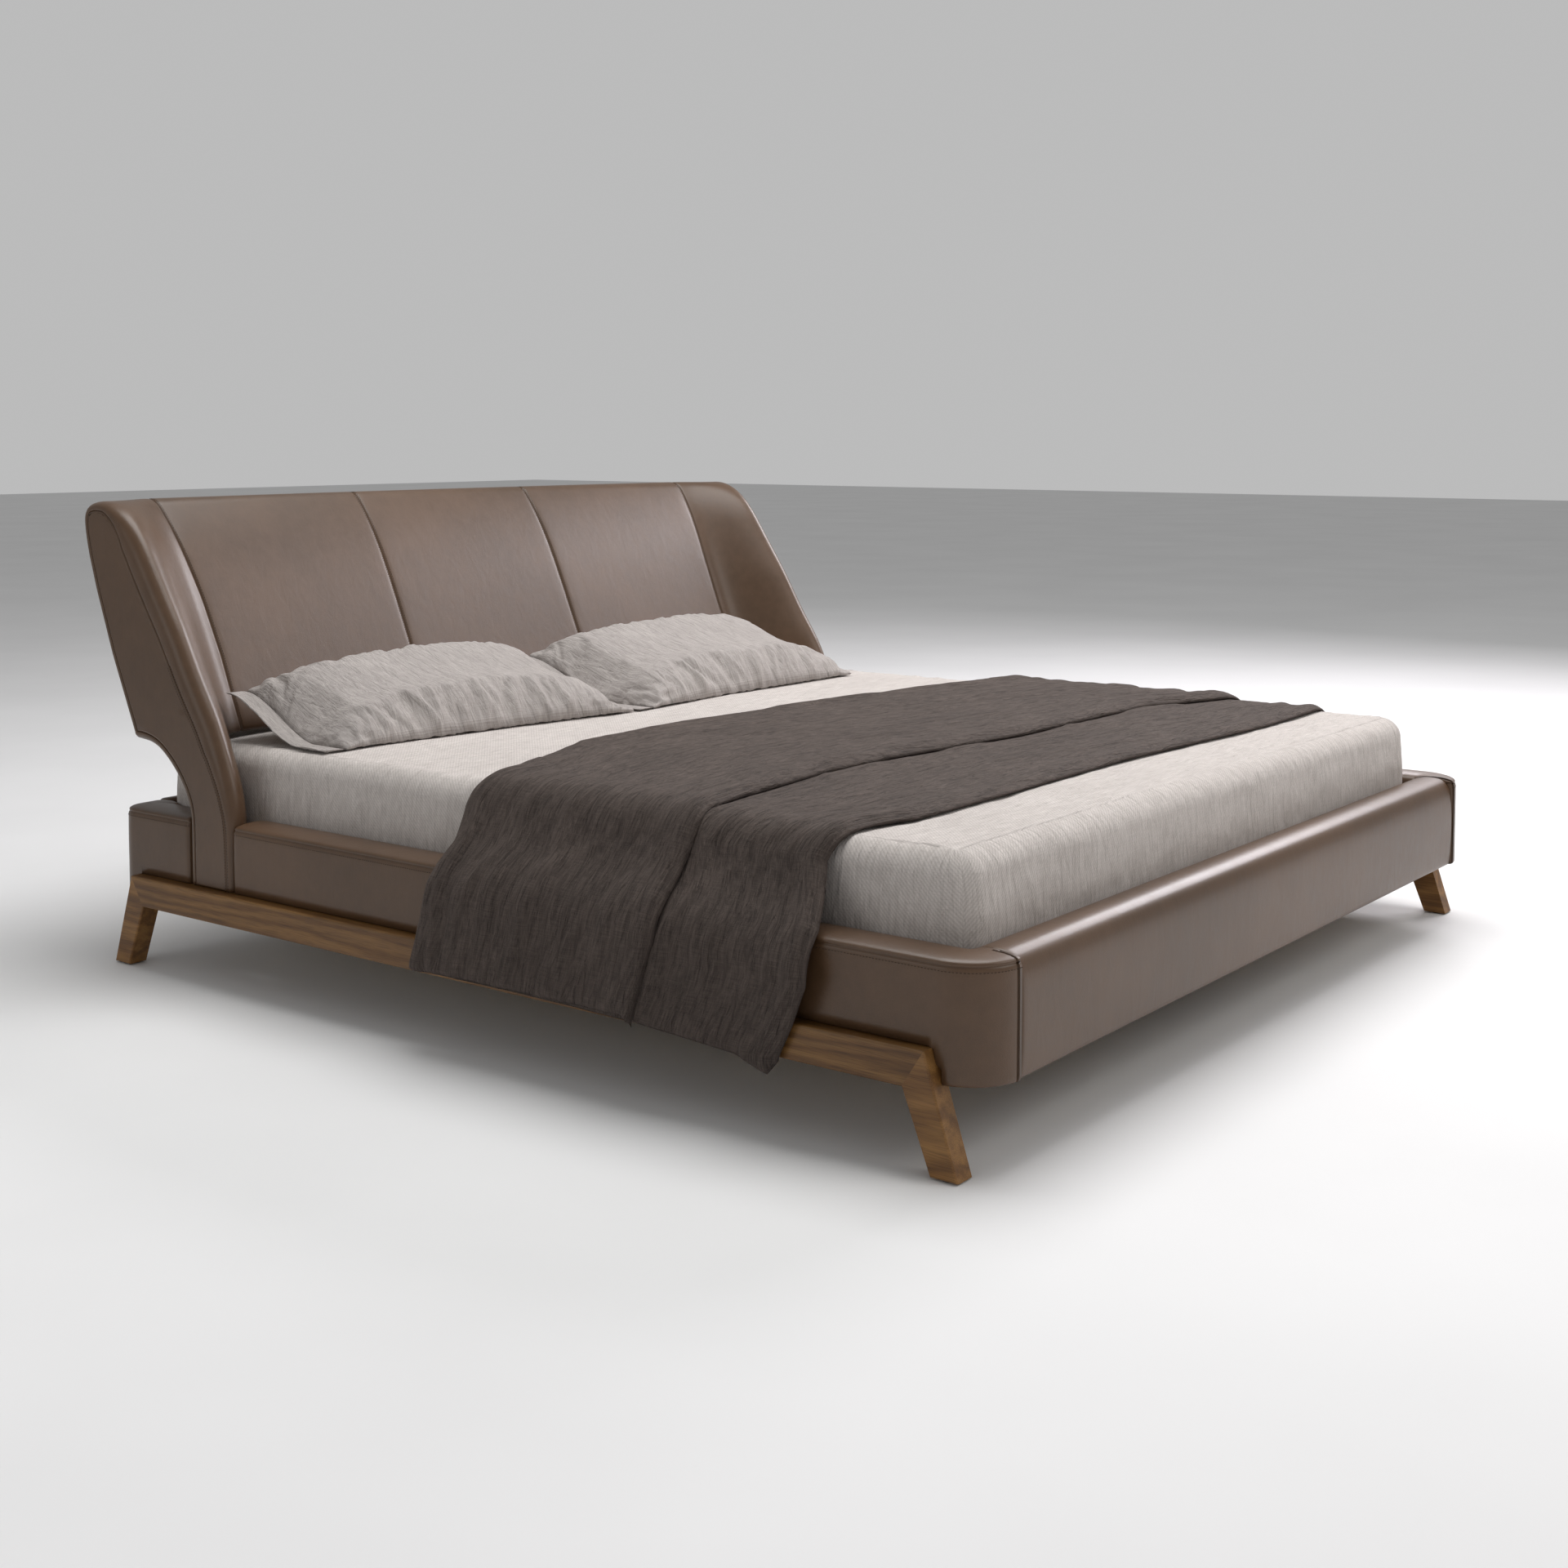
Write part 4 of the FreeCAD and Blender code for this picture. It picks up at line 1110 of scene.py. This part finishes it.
def make_mattress():
    """Mattress under the sheet: ticking over a slab, turned under at its bottom edge, with a faintly
    quilted underside.
    """
    top, flat_top, strips, flats = covered_slab(
        MATTRESS_HALF - 6.0, MATTRESS_START + 6.0, MATTRESS_END - 6.0, 54.0, 40.0, 228.6,
        MATTRESS_TOP - 6.0, 26.0, 0.0, 1.0)
    skin = Skin()
    skin.patch(top, flat_top)
    for grid, flat in zip(strips, flats):
        skin.patch(grid, flat)
    under = top.copy()
    quilt = np.sin(flat_top[..., 0] * math.pi / 160.0) * np.sin(flat_top[..., 1] * math.pi / 160.0)
    under[..., 2] = 230.4 - 1.6 * np.abs(quilt) ** 0.5
    skin.patch(under, flat_top)
    piece = skin.object("mattress_ticking", ticking, weld=1.0)
    return place(piece, "bed", "ticking", "mattress")


make_mattress()
make_sheet()


# ---- pillows ----------------------------------------------------------------------------------
PILLOW_LOW = MATTRESS_TOP + 2.0
FLANGE = 58.0
CORNER_PULL = 15.0


def pillow_shape(corners, cell):
    """A pillow as an upper and a lower grid over flat coordinates, with a flat flange at its left end."""
    (front_left, front_right), (rear_left, rear_right) = np.array(corners, float)
    width = np.linalg.norm(front_right - front_left)
    columns = int(width / cell) + 1
    rows = int(500.0 / cell) + 1
    uu, vv = np.meshgrid(np.linspace(0.0, 1.0, columns), np.linspace(0.0, 1.0, rows))
    plan = ((front_left * (1 - uu[..., None]) + front_right * uu[..., None]) * (1 - vv[..., None])
            + (rear_left * (1 - uu[..., None]) + rear_right * uu[..., None]) * vv[..., None])
    body = np.clip((uu * width - FLANGE) / (width - FLANGE), 0.0, 1.0)
    inward = np.where(uu > 0.5, -1.0, 0.4)
    plan[..., 0] += CORNER_PULL * np.sin(math.pi * vv) * inward * np.abs(2 * uu - 1) ** 4
    plan[..., 1] += CORNER_PULL * np.sin(math.pi * uu) * np.sign(0.5 - vv) * np.abs(2 * vv - 1) ** 3
    puff = (1 - np.abs(2 * body - 1) ** 2.6) ** 0.52 * (1 - np.abs(2 * vv - 1) ** 2.4) ** 0.5
    edge = PILLOW_LOW + 3.0 + 94.0 * smooth_step(vv, 0.3, 1.0)
    upper = edge + (96.0 - 20.0 * vv) * puff
    lower = np.maximum(edge - 2.5 - 85.0 * puff, PILLOW_LOW - 0.5)
    lower = np.where(puff <= 0.0, edge - 2.5, lower)
    flat = np.dstack([uu * width, vv * 500.0])
    return np.dstack([plan, upper]), np.dstack([plan, lower]), flat, puff


def inflate(piece, held, pressure, growth, cap):
    """Points of a closed cloth blown up with some spare fabric in it, none moved further than cap."""
    before = np.array([vertex.co for vertex in piece.data.vertices])
    group = piece.vertex_groups.new(name="held")
    group.add(held, 1.0, "REPLACE")
    cloth = piece.modifiers.new("cloth", "CLOTH")
    settings = {
        "quality": 4, "mass": 0.25, "tension_stiffness": 12.0, "compression_stiffness": 12.0,
        "shear_stiffness": 4.0, "bending_stiffness": 0.12, "vertex_group_mass": "held",
        "shrink_min": -growth, "use_pressure": True, "uniform_pressure_force": pressure}
    for key, value in settings.items():
        setattr(cloth.settings, key, value)
    cloth.settings.effector_weights.gravity = 0.0
    cloth.collision_settings.use_collision = False
    cloth.collision_settings.use_self_collision = False
    cloth.point_cache.frame_start = 1
    cloth.point_cache.frame_end = 20
    scene = bpy.context.scene
    for step in range(1, 21):
        scene.frame_set(step)
    shaped = piece.evaluated_get(bpy.context.evaluated_depsgraph_get())
    after = np.array([vertex.co for vertex in shaped.data.vertices])
    piece.modifiers.remove(cloth)
    piece.vertex_groups.remove(group)
    scene.frame_set(1)
    shift = after - before
    length = np.linalg.norm(shift, axis=1, keepdims=True)
    return before + shift * np.minimum(1.0, cap / np.maximum(length, 1e-9))


def near_points(piece, spots):
    """Indices of the piece's points that lie within 4 mm of any of these spots."""
    tree = KDTree(len(spots))
    for index, spot in enumerate(spots):
        tree.insert(spot, index)
    tree.balance()
    return [vertex.index for vertex in piece.data.vertices if tree.find(vertex.co)[2] < 0.004]


def make_pillow(name, node, corners, seed):
    cell = 6.0
    upper, lower, flat, puff = pillow_shape(corners, cell)
    field = crease_field(950.0, 520.0, 4.0, 110, (70, 200), (8, 15), (0.8, 2.4), 1.1, 0.5, seed)
    radial = crease_field(950.0, 520.0, 4.0, 150, (80, 200), (8, 14), (1.8, 5.0), 1.45, 0.25, seed + 1)
    near_seam = 1 - smooth_step(np.minimum(flat[..., 1], 500.0 - flat[..., 1]), 60.0, 190.0)
    lift = sample(field, 4.0, flat[..., 0], flat[..., 1])
    lift += sample(radial, 4.0, flat[..., 0], flat[..., 1]) * near_seam
    normal = grid_normals(upper)
    normal *= np.sign(normal[..., 2].mean())
    fade = smooth_step(puff, 0.05, 0.4)
    upper = upper + normal * (lift * fade)[..., None]
    flange_wave = 2.2 * np.sin(flat[..., 1] / 37.0 + seed) * (1 - smooth_step(flat[..., 0], 10.0, FLANGE))
    upper[..., 2] += np.abs(flange_wave)
    hem = np.exp(-((flat[..., 0] - FLANGE + 4.0) / 5.0) ** 2)
    upper[..., 2] -= 2.4 * hem
    skin = Skin()
    skin.pocket(upper, lower, flat)
    piece = skin.object(name, pillow_linen, weld=0.3, closed=True)
    flange = upper[:, 1:int(FLANGE / cell)].reshape(-1, 3)
    boundary = to_metres(np.concatenate([upper[0], upper[-1], upper[:, 0], upper[:, -1], flange]))
    shaped = inflate(piece, near_points(piece, boundary), 2.6, 0.05, 0.022)
    shaped[:, 2] = np.maximum(shaped[:, 2], (PILLOW_LOW - 0.5) * 0.001)
    leaning = lean_front(shaped[:, 2] * 1000.0) - hollow(shaped[:, 0] * 1000.0)
    shaped[:, 1] = np.minimum(shaped[:, 1], (leaning - 4.0 - LENGTH / 2) * 0.001)
    piece.data.vertices.foreach_set("co", shaped.ravel())
    piece.data.update()
    return place(piece, node, "pillow_linen", node)


make_pillow("pillow_linen_left", "pillow_left",
            [[(-922.0, 1668.0), (-78.0, 1568.0)], [(-917.0, 1996.0), (-78.0, 1992.0)]], 21)
make_pillow("pillow_linen_right", "pillow_right",
            [[(-66.0, 1566.0), (815.0, 1578.0)], [(-64.0, 1990.0), (813.0, 1988.0)]], 31)


# ---- throw --------------------------------------------------------------------------------------
# half of the line that the throw's underside follows over the bed, as (x, height) points
HALF_PROFILE = [(0.0, 476.2), (880.0, 476.2), (918.0, 475.2), (946.0, 469.5), (966.0, 457.5),
                (980.0, 438.5), (996.0, 412.5), (1026.0, 374.5), (1060.0, 344.5), (1084.0, 314.5),
                (1095.0, 285.0), (1097.0, 250.0), (1096.8, 205.0), (1096.6, 90.0)]
MIDDLE_D = 1100.0            # measured places along the bed count from here, positive to the head


def throw_edges(x, drop):
    """Places of the head edge, the fold and the foot edge of the throw at a point across the bed."""
    head = np.interp(x, [-960, -872, -592, -246, 105, 527, 883, 960],
                     [84, 84, 188, 221, 186, 135, 70, 60])
    fold = np.interp(x, [-960, -840, -532, -308, 94, 641, 865, 960],
                     [-468, -450, -418, -427, -475, -479, -560, -580])
    foot = np.interp(x, [-960, -872, -776, -556, -15, 568, 923, 960],
                     [-755, -758, -785, -787, -777, -811, -800, -798])
    head = head + np.interp(drop, [0, 50, 130, 280, 383], [0, 4, -10, 8, 44])
    fold = fold + np.interp(drop, [0, 50, 243, 383], [0, -2, -7, 40])
    foot = foot + np.interp(drop, [0, 50, 77, 174, 264, 331, 388], [0, 11, 2, -30, -30, -4, 24])
    return head, fold, foot


def throw_line():
    """Points, outward normals and run along the throw's path across the bed, from its middle outwards."""
    profile = resample(rounded(HALF_PROFILE, 2), spacing=2.0)
    tangent = unit(np.gradient(profile, axis=0))
    return profile, np.stack([-tangent[:, 1], tangent[:, 0]], axis=1), run_along(profile)


LINE, LINE_NORMAL, LINE_RUN = throw_line()
DROP_RUN = float(np.interp(946.0, LINE[:, 0], LINE_RUN))


FULL_WIDTH = 980.0
FOLDED_WIDTH = 640.0
ROUND_OFF = 34.0             # how far in from its edges a layer reaches its full thickness


def throw_plan(from_fold, share, across, hems):
    """Run from the middle, x, d and the run of the hem at each point of a layer."""
    hem_d, hem_z = zip(*hems)
    reach = np.full((len(share), across.shape[1]), LINE_RUN[-1])
    for _ in range(3):
        runs = across * reach
        x = np.interp(np.abs(runs), LINE_RUN, LINE[:, 0]) * np.sign(runs)
        head, fold, foot = throw_edges(x, np.clip(np.abs(runs) - DROP_RUN, 0.0, None))
        start, end = (fold, head) if from_fold else (foot, head - 26.0)
        d = start + (end - start) * share
        hem = np.interp(np.broadcast_to(d[:, [0]], d.shape), hem_d, hem_z)
        reach = LINE_RUN[-1] - (hem - LINE[-1, 1])
    return runs, x, d, reach


def throw_relief(runs, w, to_hem, to_side, seed):
    """Height of a layer's creases, its gathers along the hem and the sides, and its broad folds."""
    u = runs + LINE_RUN[-1]

    def creases(count, length, breadth, rise, spread_angle, number, angle=0.0, cell=5.0):
        return crease_field(2900.0, 1000.0, cell, count, length, breadth, rise, angle, spread_angle,
                            seed + number)

    soft = creases(480, (160, 460), (11, 22), (1.4, 4.6), 0.13, 0)
    fine = creases(2600, (50, 170), (5.5, 9), (0.5, 1.5), 0.2, 1)
    field = np.clip(soft + fine - (soft + fine).mean(), -2.6, 5.0)
    gather = creases(800, (80, 170), (8, 14), (2.0, 6.0), 0.12, 2)
    gathered = sample(gather - gather.mean(), 5.0, u, w) * np.exp(-to_hem / 55.0)
    side_gather = creases(900, (30, 70), (6, 10), (0.8, 2.4), 0.3, 3, angle=math.pi / 2)
    gathered += sample(side_gather - side_gather.mean(), 5.0, u, w) * np.exp(-to_side / 26.0)
    broad = creases(90, (240, 480), (18, 36), (4.0, 9.0), 0.12, 4, cell=8.0)
    hanging = smooth_step(np.abs(runs), DROP_RUN - 60.0, DROP_RUN + 150.0)
    # the broad folds are read with a wider step than they are made with, which stretches them
    relief = sample(field, 5.0, u, w) * (0.6 + 0.6 * hanging) + gathered
    relief += sample(broad, 10.0, u, w) * hanging
    return relief + 6.0 * np.exp(-((to_side - ROUND_OFF) / 22.0) ** 2)


def throw_layer(from_fold, seed, low, thick, hems):
    """One soft layer of the throw as its upper and lower grid."""
    cell = 6.5
    width = FOLDED_WIDTH if from_fold else FULL_WIDTH
    share = np.linspace(0.0, 1.0, int(width / cell) + 1)[:, None]
    across = np.linspace(-1.0, 1.0, int(2 * LINE_RUN[-1] / cell) // 2 * 2 + 1)[None]
    runs, x, d, reach = throw_plan(from_fold, share, across, hems)
    w = np.broadcast_to(share * width, runs.shape)
    to_hem = (1 - np.abs(across)) * reach
    to_side = np.minimum(share, 1 - share) * width
    near = np.minimum(np.minimum(to_hem, to_side) / ROUND_OFF, 1.0)
    full = np.sqrt(np.clip(1 - (1 - near) ** 2, 0.0, 1.0))
    relief = throw_relief(runs, w, to_hem, to_side, seed)
    low = low * (1 - np.exp(-(1 - share) * width / 30.0)) if from_fold else np.full(share.shape, low)
    middle = low + thick / 2 * (0.12 + 0.88 * full)
    top = middle + thick / 2 * full + np.clip(relief, -0.45 * thick, 8.0) * np.clip(full * 1.3, 0.15, 1.0)
    bottom = np.broadcast_to(low, full.shape)
    normal_x, normal_z, z = [np.interp(np.abs(runs), LINE_RUN, row)
                             for row in (*LINE_NORMAL.T, LINE[:, 1])]
    normal_x = normal_x * (np.sign(across) + (across == 0))
    upper, lower = [np.dstack([x + normal_x * offset, d + MIDDLE_D, z + normal_z * offset])
                    for offset in (top, bottom)]
    return upper, lower, np.dstack([w, runs + LINE_RUN[-1]])


def make_throw():
    lower_hems = [(-800, 150), (-763, 148), (-735, 137), (-709, 106), (-690, 110), (-640, 127), (-537, 133),
                  (-430, 139), (-200, 143), (60, 142), (124, 150)]
    upper_hems = [(-470, 150), (-445, 142), (-430, 131), (-411, 150), (-200, 148), (60, 146), (110, 140),
                  (126, 150)]
    layers = (("throw_linen_lower", False, 11, 0.6, 8.0, lower_hems, ["throw"]),
              ("throw_linen_upper", True, 61, 9.0, 11.0, upper_hems, []))
    for name, from_fold, seed, low, thick, hems, nodes in layers:
        skin = Skin()
        skin.pocket(*throw_layer(from_fold, seed, low, thick, hems))
        piece = skin.object(name, throw_linen, weld=0.2, closed=True)
        place(piece, "throw", "throw_linen", *nodes)


make_throw()


# ---- floor, light and camera --------------------------------------------------------------------
def stage_floor():
    s = Shader("floor_pale", 0.9)
    colour = s.ramp(s.noise(s.mapped(), 1.2, 3.0), (0.3, (0.8, 0.8, 0.8)), (0.7, (0.84, 0.84, 0.84)))
    material = s.finish(colour, None, s.bump(s.noise(s.mapped(), 90.0), 0.05, 0.001))
    mesh = bpy.data.meshes.new("floor")
    size = 30.0
    corners = [(-size, -size, 0), (size, -size, 0), (size, size, 0), (-size, size, 0)]
    mesh.from_pydata(corners, [], [(0, 1, 2, 3)])
    mesh.materials.append(material)
    add_object("floor", mesh)


def aim(piece, position, direction):
    piece.location = position
    piece.rotation_mode = "QUATERNION"
    piece.rotation_quaternion = direction.to_track_quat("-Z", "Y")


def area_light(name, position, target, size, power, colour=(1.0, 1.0, 1.0)):
    data = bpy.data.lights.new(name, "AREA")
    data.shape = "RECTANGLE"
    data.size, data.size_y = size
    data.energy = power
    data.color = colour
    aim(add_object(name, data), position, Vector(target) - Vector(position))


def light_scene():
    world = bpy.data.worlds.new("studio")
    bpy.context.scene.world = world
    world.use_nodes = True
    background = world.node_tree.nodes["Background"]
    background.inputs["Color"].default_value = (1.0, 1.0, 1.0, 1.0)
    rays = world.node_tree.nodes.new("ShaderNodeLightPath")
    level = world.node_tree.nodes.new("ShaderNodeMapRange")
    level.inputs["To Min"].default_value = 0.36
    level.inputs["To Max"].default_value = 0.5
    world.node_tree.links.new(rays.outputs["Is Camera Ray"], level.inputs["Value"])
    world.node_tree.links.new(level.outputs["Result"], background.inputs["Strength"])
    area_light("key", (0.9, -4.4, 3.6), (0.0, 0.0, 0.4), (2.6, 2.2), 50.0, (1.0, 0.97, 0.94))
    area_light("top", (0.6, 0.1, 4.8), (0.1, 0.0, 0.3), (3.6, 3.6), 178.0)
    area_light("far_side", (5.2, -0.6, 3.4), (0.2, -0.3, 0.4), (3.4, 1.4), 170.0, (1.0, 0.96, 1.0))
    area_light("near_side", (-5.0, 1.2, 1.7), (0.0, 0.4, 0.4), (2.4, 1.2), 12.0)


def place_camera():
    data = bpy.data.cameras.new("camera")
    data.sensor_width = 36.0
    data.lens = 46.17
    data.shift_y = -0.149
    data.clip_start = 0.1
    data.clip_end = 100.0
    camera = add_object("camera", data)
    yaw = 0.9215
    pitch = -0.0595
    direction = Vector((math.sin(yaw) * math.cos(pitch), math.cos(yaw) * math.cos(pitch), math.sin(pitch)))
    aim(camera, (-3.5972, -2.7108, 1.1332), direction)
    bpy.context.scene.camera = camera


stage_floor()
light_scene()
place_camera()
bpy.context.scene.view_settings.view_transform = "Standard"
